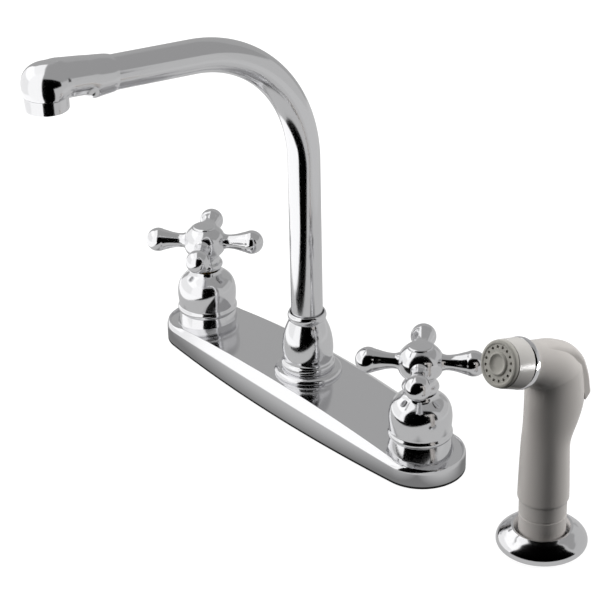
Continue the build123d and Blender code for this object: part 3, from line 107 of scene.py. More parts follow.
@dataclass
class Shape:
    """Vertices in millimetres with their faces as index lists."""

    points: np.ndarray
    faces: list[list[int]]

    def moved(self, matrix: Matrix) -> "Shape":
        """Shape carried by a 4x4 matrix whose shift is in millimetres."""
        m = np.array(matrix)
        return Shape(self.points @ m[:3, :3].T + m[:3, 3], self.faces)

    def shifted(self, x: float, y: float, z: float) -> "Shape":
        """Shape carried by a plain shift."""
        return Shape(self.points + np.array([x, y, z]), self.faces)

    @staticmethod
    def joined(shapes: list["Shape"]) -> "Shape":
        """Several closed shells kept as one mesh.

        Args:
            shapes: the shells.

        Returns:
            One shape with all their points and faces, in order.
        """
        starts = np.cumsum([0] + [len(s.points) for s in shapes])
        faces = [[i + int(n) for i in f] for s, n in zip(shapes, starts) for f in s.faces]
        return Shape(np.concatenate([s.points for s in shapes]), faces)

    def welded(self) -> "Shape":
        """Merges coinciding vertices and drops collapsed faces.

        Returns:
            The welded shape.
        """
        keys = np.round(self.points / (WELD_DISTANCE / MM)).astype(np.int64)
        _, first, back = np.unique(keys, axis=0, return_index=True, return_inverse=True)
        back = back.ravel()
        faces = []
        for face in self.faces:
            ids = [int(back[i]) for i in face]
            kept = [a for a, b in zip(ids, ids[1:] + ids[:1]) if a != b]
            if len(set(kept)) == len(kept) >= 3:
                faces.append(kept)
        return Shape(self.points[first], faces)


def grid(points: np.ndarray, close_rows: bool, close_cols: bool) -> Shape:
    """Quads over a rows x columns x 3 array of points.

    Args:
        points: surface points P(row, column).
        close_rows: True where the last row joins the first.
        close_cols: True where the last column joins the first.

    Returns:
        The surface, with each quad (r, c), (r, c+1), (r+1, c+1), (r+1, c).
    """
    rows, cols = points.shape[:2]
    r = np.arange(rows if close_rows else rows - 1)[:, None]
    c = np.arange(cols if close_cols else cols - 1)[None, :]
    r2, c2 = (r + 1) % rows, (c + 1) % cols
    quads = np.stack([r * cols + c, r * cols + c2, r2 * cols + c2, r2 * cols + c], axis=-1)
    return Shape(points.reshape(-1, 3), quads.reshape(-1, 4).tolist())


def spline_at(t: np.ndarray, p: np.ndarray, at: np.ndarray) -> np.ndarray:
    """Natural cubic spline, whose second slopes M solve h M = 6 times the jumps of slope.

    Args:
        t: rising knots.
        p: rows to pass through, one per knot.
        at: values to read the spline at.

    Returns:
        One row per value.
    """
    h = np.diff(t)
    n = len(t)
    a = np.eye(n)
    b = np.zeros_like(p)
    inner = np.arange(1, n - 1)
    a[inner, inner - 1], a[inner, inner], a[inner, inner + 1] = h[:-1], 2 * (h[:-1] + h[1:]), h[1:]
    slope = np.diff(p, axis=0) / h[:, None]
    b[inner] = 6 * np.diff(slope, axis=0)
    m = np.linalg.solve(a, b)
    i = np.clip(np.searchsorted(t, at, side="right") - 1, 0, n - 2)
    u, v = (t[i + 1] - at)[:, None], (at - t[i])[:, None]
    hi = h[i][:, None]
    cubic = (m[i] * u**3 + m[i + 1] * v**3) / (6 * hi)
    return cubic + (p[i] / hi - m[i] * hi / 6) * u + (p[i + 1] / hi - m[i + 1] * hi / 6) * v


def smooth(points: Profile, count: int) -> np.ndarray:
    """Natural cubic through points, over chord length.

    Args:
        points: points to pass through.
        count: samples, spread evenly over the chord length.

    Returns:
        The samples, one row each.
    """
    p = np.asarray(points, float)
    t = np.concatenate([[0.0], np.cumsum(np.linalg.norm(np.diff(p, axis=0), axis=1))])
    return spline_at(t, p, np.linspace(0.0, t[-1], count))


def outline(*runs: Profile | np.ndarray) -> np.ndarray:
    """Sets runs of points end to end, with repeated joints left out.

    Args:
        runs: the runs, in order.

    Returns:
        One row per point.
    """
    points = np.concatenate([np.asarray(r, float).reshape(-1, 2) for r in runs])
    steps = np.linalg.norm(np.diff(points, axis=0), axis=1)
    return points[np.concatenate([[True], steps > REPEAT_DISTANCE])]


def corner_arcs(before: np.ndarray, at: np.ndarray, after: np.ndarray, radius: float, count: int,
                room: float = math.inf) -> np.ndarray:
    """Arcs B(s) = (1-s)^2 (C - L u) + 2 s (1-s) C + s^2 (C + L v) that round corners C off.

    Args:
        before: points ahead of the corners, one row each, with u the unit step from them.
        at: the corners C.
        after: points behind the corners, with v the unit step to them.
        radius: gives each arc's length L = radius tan(turn / 2).
        count: samples on each arc.
        room: greatest share of the shorter step that L may take.

    Returns:
        An array of count x corners x coordinates.
    """
    long_u = np.linalg.norm(at - before, axis=1, keepdims=True)
    long_v = np.linalg.norm(after - at, axis=1, keepdims=True)
    u, v = (at - before) / long_u, (after - at) / long_v
    turn = np.arccos(np.clip((u * v).sum(1, keepdims=True), -1, 1))
    length = np.minimum(radius * np.tan(turn / 2), room * np.minimum(long_u, long_v))
    s = np.linspace(0, 1, count)[:, None, None]
    return (1 - s) ** 2 * (at - length * u) + 2 * s * (1 - s) * at + s**2 * (at + length * v)


def rounded(corners: Profile, radius: float, count: int) -> np.ndarray:
    """Open polyline whose inner corners become arcs.

    Args:
        corners: the polyline's points.
        radius: radius of the arcs.
        count: samples on each arc.

    Returns:
        One row per point.
    """
    p = np.asarray(corners, float)
    arcs = corner_arcs(p[:-2], p[1:-1], p[2:], radius, count, ARC_ROOM)
    return np.concatenate([p[:1], np.moveaxis(arcs, 0, 1).reshape(-1, p.shape[1]), p[-1:]])


def lathe(profile: np.ndarray, segments: int, closed: bool = True) -> Shape:
    """Surface turned about Z: P(i, a) = (r_i cos a, r_i sin a, z_i).

    Args:
        profile: rows (r, z) that run upwards on the outside.
        segments: steps once round.
        closed: True where the profile's end joins its start.

    Returns:
        The welded surface.
    """
    a = np.linspace(0, FULL_TURN, segments, endpoint=False)
    r, z = profile[:, :1], profile[:, 1:]
    points = np.stack([r * np.cos(a), r * np.sin(a), z + 0 * a], axis=-1)
    return grid(points, closed, True).welded()


def along_x(profile: np.ndarray, segments: int) -> Shape:
    """Surface turned about X: P(i, a) = (s_i, -r_i sin a, r_i cos a).

    Args:
        profile: rows (s, r).
        segments: steps once round.

    Returns:
        The welded surface.
    """
    a = np.linspace(0, FULL_TURN, segments, endpoint=False)
    s, r = profile[:, :1], profile[:, 1:]
    points = np.stack([s + 0 * a, -r * np.sin(a), r * np.cos(a)], axis=-1)
    return grid(points[::-1], False, True).welded()


# Finishes


class Nodes:
    """Short way to add and join nodes in one tree."""

    def __init__(self, tree: bpy.types.NodeTree) -> None:
        """Keeps the tree that nodes are added to."""
        self.tree = tree

    def add(self, kind: str, **values: object) -> bpy.types.Node:
        """Adds a node.

        Args:
            kind: the node's type.
            values: its plain properties.

        Returns:
            The node.
        """
        node = self.tree.nodes.new(kind)
        for key, value in values.items():
            setattr(node, key, value)
        return node

    def join(self, source: Socket | float, target: Socket) -> None:
        """Links a socket to the target, or sets the target to a number."""
        if isinstance(source, (int, float)):
            target.default_value = source
        else:
            self.tree.links.new(source, target)

    def feed(self, node: bpy.types.Node, *sources: Socket | float) -> Socket:
        """Fills a node's inputs in order, with sockets or numbers, and gives its first output."""
        for source, target in zip(sources, node.inputs):
            self.join(source, target)
        return node.outputs[0]

    def maths(self, operation: str, first: Socket | float, second: Socket | float = 0.0) -> Socket:
        """Value of a math node."""
        return self.feed(self.add("ShaderNodeMath", operation=operation), first, second)

    def spread(self, value: Socket, low: float, high: float, to_low: Socket | float,
               to_high: Socket | float) -> Socket:
        """Value mapped from low..high to to_low..to_high, held at the ends."""
        return self.feed(self.add("ShaderNodeMapRange"), value, low, high, to_low, to_high)

    def split(self, vector: Socket) -> tuple[Socket, Socket, Socket]:
        """Parts of a vector along X, Y and Z."""
        node = self.add("ShaderNodeSeparateXYZ")
        return self.feed(node, vector), node.outputs["Y"], node.outputs["Z"]

    def noise(self, vector: Socket, scale: Socket | float, detail: float = 2.0) -> Socket:
        """Value of a noise texture.

        Args:
            vector: place that it is read at.
            scale: its scale.
            detail: its octaves.

        Returns:
            The value, about 0.5.
        """
        node = self.add("ShaderNodeTexNoise")
        for label, source in (("Vector", vector), ("Scale", scale), ("Detail", detail)):
            self.join(source, node.inputs[label])
        return node.outputs["Fac"]

    def emission(self, strength: Socket | float) -> Socket:
        """Plain white glow.

        Args:
            strength: how bright it is.

        Returns:
            The shader.
        """
        node = self.add("ShaderNodeEmission")
        self.join(strength, node.inputs["Strength"])
        return node.outputs[0]

    def diffuse(self, grey: float) -> Socket:
        """Plain grey surface.

        Args:
            grey: share of the light that it gives back.

        Returns:
            The shader.
        """
        node = self.add("ShaderNodeBsdfDiffuse")
        node.inputs["Color"].default_value = (grey, grey, grey, 1.0)
        return node.outputs[0]

    def surface(self, shader: Socket) -> None:
        """Ends a material's tree with its surface."""
        self.join(shader, self.add("ShaderNodeOutputMaterial").inputs["Surface"])


def new_group(texture: Texture, values: dict[str, float]) -> bpy.types.NodeTree:
    """Empty pattern group: a Vector and float inputs, with Roughness, Shade and Height as outputs.

    Args:
        texture: the pattern that it is for.
        values: float input name to default value.

    Returns:
        The group, with its input node named "in" and its output node named "out".
    """
    tree = bpy.data.node_groups.new(texture.value, "ShaderNodeTree")
    tree.interface.new_socket("Vector", in_out="INPUT", socket_type="NodeSocketVector")
    for label, value in values.items():
        socket = tree.interface.new_socket(label, in_out="INPUT", socket_type="NodeSocketFloat")
        socket.default_value = value
    for label in ("Roughness", "Shade", "Height"):
        tree.interface.new_socket(label, in_out="OUTPUT", socket_type="NodeSocketFloat")
    tree.nodes.new("NodeGroupInput").name = "in"
    tree.nodes.new("NodeGroupOutput").name = "out"
    return tree


def skin_group() -> bpy.types.NodeTree:
    """Polished or moulded skin: broad haze, fine grain and a few hairlines.

    Returns:
        The node group.
    """
    tree = new_group(Texture.SKIN, {"Haze Scale": 30.0, "Grain Scale": 900.0, "Rough Low": 0.03,
                                    "Rough High": 0.08, "Hairlines": 0.02})
    n = Nodes(tree)
    given, out = tree.nodes["in"].outputs, tree.nodes["out"].inputs
    haze = n.noise(given["Vector"], given["Haze Scale"], 4.0)
    stretch = n.add("ShaderNodeMapping")
    stretch.inputs["Scale"].default_value = HAIRLINE_SCALE
    stretch.inputs["Rotation"].default_value = HAIRLINE_TURN
    n.join(given["Vector"], stretch.inputs["Vector"])
    lines = n.noise(stretch.outputs["Vector"], 1.0)
    scratch = n.spread(lines, 0.66, 0.74, 0.0, given["Hairlines"])
    rough = n.spread(haze, 0.3, 0.7, given["Rough Low"], given["Rough High"])
    n.join(n.maths("ADD", rough, scratch), out["Roughness"])
    n.join(n.spread(haze, 0.25, 0.75, 0.0, 1.0), out["Shade"])
    n.join(n.noise(given["Vector"], given["Grain Scale"]), out["Height"])
    return tree


def turned_group() -> bpy.types.NodeTree:
    """Lathe marks: rings that follow height, broken up by noise, over a soft tarnish.

    Returns:
        The node group.
    """
    tree = new_group(Texture.TURNED, {"Ring Scale": 1200.0, "Rough Low": 0.2, "Rough High": 0.35})
    n = Nodes(tree)
    given, out = tree.nodes["in"].outputs, tree.nodes["out"].inputs
    x, y, z = n.split(given["Vector"])
    level = n.add("ShaderNodeCombineXYZ")
    flat = [n.maths("MULTIPLY", part, RING_FLATTEN) for part in (x, y)]
    rings = n.noise(n.feed(level, *flat, z), given["Ring Scale"], 3.0)
    tarnish = n.noise(given["Vector"], TARNISH_SCALE, 5.0)
    n.join(n.spread(rings, 0.3, 0.7, given["Rough Low"], given["Rough High"]), out["Roughness"])
    n.join(n.spread(tarnish, 0.3, 0.7, 0.0, 1.0), out["Shade"])
    n.join(rings, out["Height"])
    return tree


def pattern_group(texture: Texture) -> bpy.types.NodeTree:
    """Node group of a pattern, made once and then reused."""
    found = bpy.data.node_groups.get(texture.value)
    return found or (skin_group() if texture is Texture.SKIN else turned_group())


@dataclass(frozen=True)
class Finish:
    """One finish: two nearby colours, a roughness span, a pattern and how deep it goes."""

    slot: Slot
    dark: tuple[float, float, float]
    light: tuple[float, float, float]
    metallic: float
    rough_low: float
    rough_high: float
    texture: Texture
    pattern_scale: float
    grain_scale: float
    bump: float
    hairlines: float = 0.0
    coat: float = 0.0

    def material(self) -> bpy.types.Material:
        """Material of this finish, made once and then reused.

        Returns:
            The material.
        """
        found = bpy.data.materials.get(self.slot.value)
        if found:
            return found
        mat = bpy.data.materials.new(self.slot.value)
        mat.use_nodes = True
        mat.diffuse_color = (*self.light, 1.0)
        n = Nodes(mat.node_tree)
        shader = mat.node_tree.nodes["Principled BSDF"].inputs
        pattern = n.add("ShaderNodeGroup", node_tree=pattern_group(self.texture))
        values = {"Rough Low": self.rough_low, "Rough High": self.rough_high}
        if self.texture is Texture.SKIN:
            values |= {"Haze Scale": self.pattern_scale, "Grain Scale": self.grain_scale,
                       "Hairlines": self.hairlines}
        else:
            values["Ring Scale"] = self.pattern_scale
        for label, value in values.items():
            pattern.inputs[label].default_value = value
        n.join(n.add("ShaderNodeTexCoord").outputs["Object"], pattern.inputs["Vector"])
        tint = n.add("ShaderNodeMix", data_type="RGBA")
        tint.inputs[6].default_value = (*self.dark, 1.0)
        tint.inputs[7].default_value = (*self.light, 1.0)
        n.join(pattern.outputs["Shade"], tint.inputs[0])
        bump = n.add("ShaderNodeBump")
        bump.inputs["Strength"].default_value = self.bump
        bump.inputs["Distance"].default_value = BUMP_DISTANCE
        n.join(pattern.outputs["Height"], bump.inputs["Height"])
        for label, source in (("Metallic", self.metallic), ("Coat Weight", self.coat),
                              ("Coat Roughness", COAT_ROUGHNESS), ("Base Color", tint.outputs[2]),
                              ("Roughness", pattern.outputs["Roughness"]),
                              ("Normal", bump.outputs["Normal"])):
            n.join(source, shader[label])
        return mat


CHROME = Finish(Slot.CHROME, (0.80, 0.80, 0.81), (0.84, 0.84, 0.845), 1.0, 0.015, 0.04, Texture.SKIN,
                18.0, 700.0, 0.004, hairlines=0.015)
BRASS = Finish(Slot.BRASS, (0.60, 0.44, 0.20), (0.76, 0.60, 0.33), 1.0, 0.2, 0.36, Texture.TURNED,
               1500.0, 0.0, 0.25)
COPPER = Finish(Slot.COPPER, (0.60, 0.32, 0.19), (0.78, 0.47, 0.32), 1.0, 0.18, 0.32, Texture.SKIN,
                60.0, 1200.0, 0.1)
STEEL = Finish(Slot.STEEL, (0.52, 0.52, 0.54), (0.64, 0.64, 0.66), 1.0, 0.22, 0.4, Texture.TURNED,
               1800.0, 0.0, 0.2)
RUBBER = Finish(Slot.RUBBER, (0.012, 0.012, 0.012), (0.03, 0.03, 0.03), 0.0, 0.5, 0.7, Texture.SKIN,
                90.0, 1500.0, 0.3)
CERAMIC = Finish(Slot.CERAMIC, (0.86, 0.85, 0.81), (0.92, 0.91, 0.88), 0.0, 0.12, 0.2, Texture.SKIN,
                 80.0, 1500.0, 0.05)
SHELL = Finish(Slot.SHELL, (0.385, 0.368, 0.346), (0.415, 0.398, 0.376), 0.2, 0.28, 0.34, Texture.SKIN,
               45.0, 2600.0, 0.12, coat=0.12)
COLLAR = Finish(Slot.COLLAR, (0.37, 0.356, 0.336), (0.40, 0.386, 0.366), 0.0, 0.05, 0.09, Texture.SKIN,
                45.0, 2600.0, 0.03, coat=0.5)
FACE = Finish(Slot.FACE, (0.335, 0.325, 0.295), (0.375, 0.365, 0.335), 0.0, 0.42, 0.55, Texture.SKIN,
              120.0, 3200.0, 0.25)
NYLON = Finish(Slot.NYLON, (0.82, 0.81, 0.77), (0.88, 0.87, 0.83), 0.0, 0.35, 0.5, Texture.SKIN,
               80.0, 2000.0, 0.15)
FINISHES = {f.slot.value: f for f in (CHROME, BRASS, COPPER, STEEL, RUBBER, CERAMIC, SHELL, COLLAR, FACE,
                                      NYLON)}


# Pieces


def new_object(name: str, shape: Shape) -> bpy.types.Object:
    """Mesh object at the origin.

    Args:
        name: name of the object and of its mesh.
        shape: its surface.

    Returns:
        The object, linked to the scene.
    """
    mesh = bpy.data.meshes.new(name)
    mesh.from_pydata((shape.points * MM).tolist(), [], shape.faces)
    mesh.validate()
    mesh.update()
    obj = bpy.data.objects.new(name, mesh)
    bpy.context.scene.collection.objects.link(obj)
    return obj


def cut(obj: bpy.types.Object, shape: Shape) -> None:
    """Takes a closed shape out of a piece's mesh and keeps the result as its mesh.

    Args:
        obj: the piece.
        shape: what is taken out of it.
    """
    tool = new_object(obj.name + "_cutter", shape)
    modifier = obj.modifiers.new("cut", "BOOLEAN")
    modifier.operation = "DIFFERENCE"
    modifier.solver = "EXACT"
    modifier.object = tool
    bpy.context.view_layer.update()
    made = bpy.data.meshes.new_from_object(obj.evaluated_get(bpy.context.evaluated_depsgraph_get()))
    obj.modifiers.clear()
    old = obj.data
    obj.data = made
    bpy.data.meshes.remove(old)
    bpy.data.objects.remove(tool)


def dress(obj: bpy.types.Object, body: Body, finish: Finish, *nodes: str) -> None:
    """Gives a piece its shading, finish and body.

    Args:
        obj: the piece.
        body: the body that it rides on.
        finish: its finish.
        nodes: the CAD nodes that it stands for.
    """
    obj.data.shade_smooth()
    obj.data.set_sharp_from_angle(angle=SHARP_ANGLE)
    obj.data.materials.clear()
    obj.data.materials.append(finish.material())
    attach(obj, body.value)
    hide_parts(*nodes)
    LOG.info("%s: %d faces on %s", obj.name, len(obj.data.polygons), body.value)


@dataclass(frozen=True)
class Lens:
    """Bowed outline of two side arcs closed by tangent end arcs, read by its outward normal's angle."""

    length: float
    width: float
    side_r: float

    @property
    def end_r(self) -> float:
        """Radius of the end arcs, from tangency with the side arcs."""
        l, w = self.length / 2, self.width / 2
        return (self.width * self.side_r - l**2 - w**2) / (2 * self.side_r - self.length)

    @property
    def end_x(self) -> float:
        """Distance of an end arc's centre from the middle."""
        return self.length / 2 - self.end_r

    @property
    def side_y(self) -> float:
        """Distance of a side arc's centre from the middle."""
        return self.side_r - self.width / 2

    @property
    def split(self) -> float:
        """Normal angle, from X, at which an end arc meets a side arc."""
        return math.atan2(self.side_y, self.end_x)

    def angles(self, end_count: int, side_count: int) -> np.ndarray:
        """Normal angles once round.

        Args:
            end_count: samples on each end arc.
            side_count: samples on each side arc.

        Returns:
            The angles, in order.
        """
        s = self.split
        runs = [np.linspace(-s, s, end_count, endpoint=False),
                np.linspace(s, math.pi - s, side_count, endpoint=False),
                np.linspace(math.pi - s, math.pi + s, end_count, endpoint=False),
                np.linspace(math.pi + s, FULL_TURN - s, side_count, endpoint=False)]
        return np.concatenate(runs)

    def points(self, angle: np.ndarray) -> np.ndarray:
        """Outline points: end centre + end_r n on the ends, side centre + side_r n on the sides.

        Args:
            angle: angles of the outward normals n.

        Returns:
            One row (x, y) per angle.
        """
        c, s = np.cos(angle), np.sin(angle)
        normal = np.stack([c, s], axis=-1)
        on_end = np.abs(c) >= math.cos(self.split) - SPLIT_SLACK
        centre = np.where(on_end[:, None], np.stack([np.sign(c) * self.end_x, 0 * s], -1),
                          np.stack([0 * c, -np.sign(s) * self.side_y], -1))
        radius = np.where(on_end, self.end_r, self.side_r)[:, None]
        return centre + radius * normal

    def nearest(self, at: np.ndarray) -> tuple[np.ndarray, np.ndarray]:
        """Place of points beyond the outline.

        Args:
            at: one row (x, y) per point.

        Returns:
            The normal angle of each point and its distance outwards.
        """
        x, y = at[:, 0], at[:, 1]
        side = np.where(x >= 0, 1.0, -1.0)
        ex, ey = x - side * self.end_x, y
        flank = np.where(y >= 0, 1.0, -1.0)
        sx, sy = x, y + flank * self.side_y
        end_angle = np.arctan2(ey, ex)
        on_end = np.abs(np.cos(end_angle)) >= math.cos(self.split)
        on_end &= ex * side > 0
        angle = np.where(on_end, end_angle, np.arctan2(sy, sx))
        distance = np.where(on_end, np.hypot(ex, ey) - self.end_r, np.hypot(sx, sy) - self.side_r)
        return angle, distance


@dataclass(frozen=True)
class DeckPlate:
    """Crowned deck plate with a bevel round its top."""

    wall: Lens = Lens(257.0, 60.6, 1101.0)
    bevel: Lens = Lens(230.0, 47.4, 521.0)
    height: float = 19.0
    crown_r: float = 909.0
    slope: float = 0.712
    bottom: float = 1.4
    edge_r: float = 0.8
    spine: float = 0.9
    end_swell: float = 1.9
    swell_from: float = 96.0
    swell_run: float = 24.0
    gasket_inset: float = 0.1
    corner_count: int = 11
    rim_rounds: int = 40
    end_count: int = 150
    side_count: int = 260

    def crown(self, x: np.ndarray) -> np.ndarray:
        """Height of the crowned top over x: a circle of crown_r along the plate."""
        return self.height - self.crown_r + np.sqrt(self.crown_r**2 - x**2)

    def shape(self) -> Shape:
        """Closed skin: rows from the top's middle line out over the bevel and wall to the underside.

        For each point W of the wall the bevel's ruling B(d) = base + d n has height h - slope d; it
        starts where that equals the crown and ends at W. Both corners are rounded, and at the plate's ends
        the ruling swells by 4 s (1 - s) end_swell, with s its share of the way, to run on from the crown.

        Returns:
            The skin.
        """
        wall = self.wall.points(self.wall.angles(self.end_count, self.side_count))
        angle, reach = self.bevel.nearest(wall)
        base = self.bevel.points(angle)
        normal = np.stack([np.cos(angle), np.sin(angle)], -1)
        start = np.zeros(len(wall))
        for _ in range(self.rim_rounds):
            x = base[:, 0] + start * normal[:, 0]
            start = (self.height - self.crown(x)) / self.slope
        top_edge = base + start[:, None] * normal
        rim = np.column_stack([top_edge, self.crown(top_edge[:, 0])])
        lip = np.column_stack([wall, self.height - self.slope * reach])
        foot = np.column_stack([wall, np.full(len(wall), self.bottom)])
        middle = np.column_stack([self.spine * rim[:, 0], 0 * rim[:, 0]])
        share = np.concatenate([np.linspace(1.0, 0.1, 13), [0.05, 0.02, 0.006, 0.0]])[:, None, None]
        flat = rim[None, :, :2] + share * (middle - rim[:, :2])[None]
        top = np.concatenate([flat, self.crown(flat[..., :1])], axis=-1)
        rim_arc = corner_arcs(top[-2], rim, lip, self.edge_r, self.corner_count)
        lip_arc = corner_arcs(rim, lip, foot, self.edge_r, self.corner_count)
        hold = np.array([0.01, 0.04, 0.12, 0.3, 0.5, 0.7, 0.88, 0.96, 0.99])[:, None, None]
        between = rim_arc[-1] + hold * (lip_arc[0] - rim_arc[-1])
        slant = np.concatenate([rim_arc, between, lip_arc])
        run = (lip - rim)[:, :2]
        way = np.clip(((slant - rim)[..., :2] * run).sum(-1) / (run**2).sum(-1), 0, 1)
        near_end = np.clip((np.abs(wall[:, 0]) - self.swell_from) / self.swell_run, 0, 1)
        slant[..., 2] += self.end_swell * near_end**2 * (3 - 2 * near_end) * 4 * way * (1 - way)
        fall = np.array([0.02, 0.08, 0.3, 0.7, 1.0])[:, None, None]
        down = lip_arc[-1] + fall * (foot - lip_arc[-1])
        under = np.column_stack([middle, np.full(len(wall), self.bottom)])
        rows = np.concatenate([top[:-1], slant, down, under[None]])
        return grid(rows[::-1], False, True).welded()

    def gasket(self) -> Shape:
        """Gasket: flat slab with the wall's outline, rows from the underside's middle round to the top.

        Returns:
            The slab.
        """
        inset = self.gasket_inset
        edge = Lens(self.wall.length - inset, self.wall.width - inset, self.wall.side_r)
        ring = edge.points(edge.angles(self.end_count, self.side_count))
        middle = np.column_stack([self.spine * ring[:, 0], 0 * ring[:, 0]])
        share = np.array([0.0, 1.0, 1.0, 0.0])[:, None, None]
        flat = middle + share * (ring - middle)
        level = np.array([0.0, 0.0, self.bottom, self.bottom])[:, None, None] + 0 * flat[..., :1]
        return grid(np.concatenate([flat, level], axis=-1), False, True).welded()

    def build(self) -> None:
        """Builds and dresses the plate and its gasket."""
        dress(new_object("plate_skin", self.shape()), Body.BASE, CHROME, "deck_plate")
        dress(new_object("gasket_skin", self.gasket()), Body.BASE, RUBBER, "base_gasket")


@dataclass(frozen=True)
class HandleSet:
    """One handle: base ring, bell, cross handle with ball-ended arms, and index cap."""

    side: str
    body: Body
    axis_x: float
    seat: float = 10.9
    ring_top: float = 20.3
    neck_r: float = 11.3
    arm_z: float = 68.1
    reach: float = 29.6
    ball_r: float = 7.44
    ball_cut: float = 3.4
    segments: int = 160

    def ring(self) -> Shape:
        """Base ring: a plain cone with eased edges, turned about the handle's axis."""
        skin = rounded([(self.neck_r, self.seat), (19.8, self.seat), (16.95, self.ring_top),
                        (self.neck_r, self.ring_top)], 0.5, 8)
        return lathe(skin, self.segments)

    def bell(self) -> Shape:
        """Bell: groove, foot bead, waist, belly and rounded shoulder, with the hollow below."""
        skin = smooth([(17.3, 21.0), (18.35, 21.5), (18.75, 22.6), (18.55, 23.8), (18.0, 24.8), (17.95, 26.4),
                       (18.2, 29.0), (18.4, 32.5), (18.2, 36.0), (17.5, 39.1), (16.0, 42.0), (13.9, 44.1),
                       (11.7, 45.7), (10.1, 47.2), (9.4, 49.0)], 140)
        return lathe(outline([(16.3, 20.3), (16.4, 20.3), (16.4, 21.0)], skin, [
            (7.25, 49.0), (7.25, 43.0), (12.6, 43.0), (14.6, 41.4), (15.8, 39.2), (16.3, 36.0)]),
            self.segments)

    def hub(self) -> Shape:
        """Hub: bead, neck and a barrel that closes in to the cap."""
        skin = smooth([(8.4, 49.8), (9.9, 50.6), (10.7, 52.2), (10.3, 53.8), (9.2, 55.2), (8.8, 57.0),
                       (9.6, 59.2), (11.5, 61.4), (12.5, 63.2), (13.0, 65.8), (13.0, 68.5), (12.6, 71.5),
                       (11.2, 74.2), (9.3, 76.3), (7.8, 77.6)], 150)
        return lathe(outline([(0.0, 49.8)], skin, [(7.0, 77.6), (7.0, 76.4), (0.0, 76.4)]), self.segments,
                     closed=False)

    def arm(self) -> Shape:
        """Arm along X: a root that flares into the hub, a waisted neck and a swell into the ball.

        Returns:
            The arm, at its height on the handle's axis.
        """
        start = self.reach - self.ball_cut
        start_r = math.sqrt(self.ball_r**2 - self.ball_cut**2)
        neck = smooth([(10.0, 5.6), (12.2, 5.0), (13.6, 4.55), (15.2, 4.4), (18.2, 4.65), (21.4, 5.3),
                       (24.2, 6.1), (start, start_r)], 70)
        t = np.linspace(math.acos(-self.ball_cut / self.ball_r), 0.0, 40)
        ball = np.column_stack([self.reach + self.ball_r * np.cos(t), self.ball_r * np.sin(t)])
        return along_x(outline([(4.0, 0.0), (4.0, 5.6)], neck, ball), 96).shifted(0, 0, self.arm_z)

    def cap(self) -> Shape:
        """Index cap: low dome with a rolled edge."""
        dome = smooth([(7.0, 77.7), (6.65, 78.3), (5.2, 78.65), (2.6, 78.85), (0.0, 78.9)], 40)
        return lathe(outline([(0.0, 76.4), (7.0, 76.4)], dome), 96, closed=False)

    def build(self) -> None:
        """Builds and dresses the handle's pieces."""
        arms = [self.arm().moved(Matrix.Rotation(math.radians(45 + 90 * k), 4, "Z")) for k in range(4)]
        cross = Shape.joined([self.hub(), *arms])
        for name, shape, body, node in (
                ("ring", self.ring(), Body.BASE, "base_ring"), ("bell", self.bell(), Body.BASE, "bell"),
                ("cross", cross, self.body, "cross_handle"), ("cap", self.cap(), self.body, "index_cap")):
            piece = new_object(f"{self.side}_{name}_skin", shape.shifted(self.axis_x, 0, 0))
            dress(piece, body, CHROME, f"{self.side}_{node}")


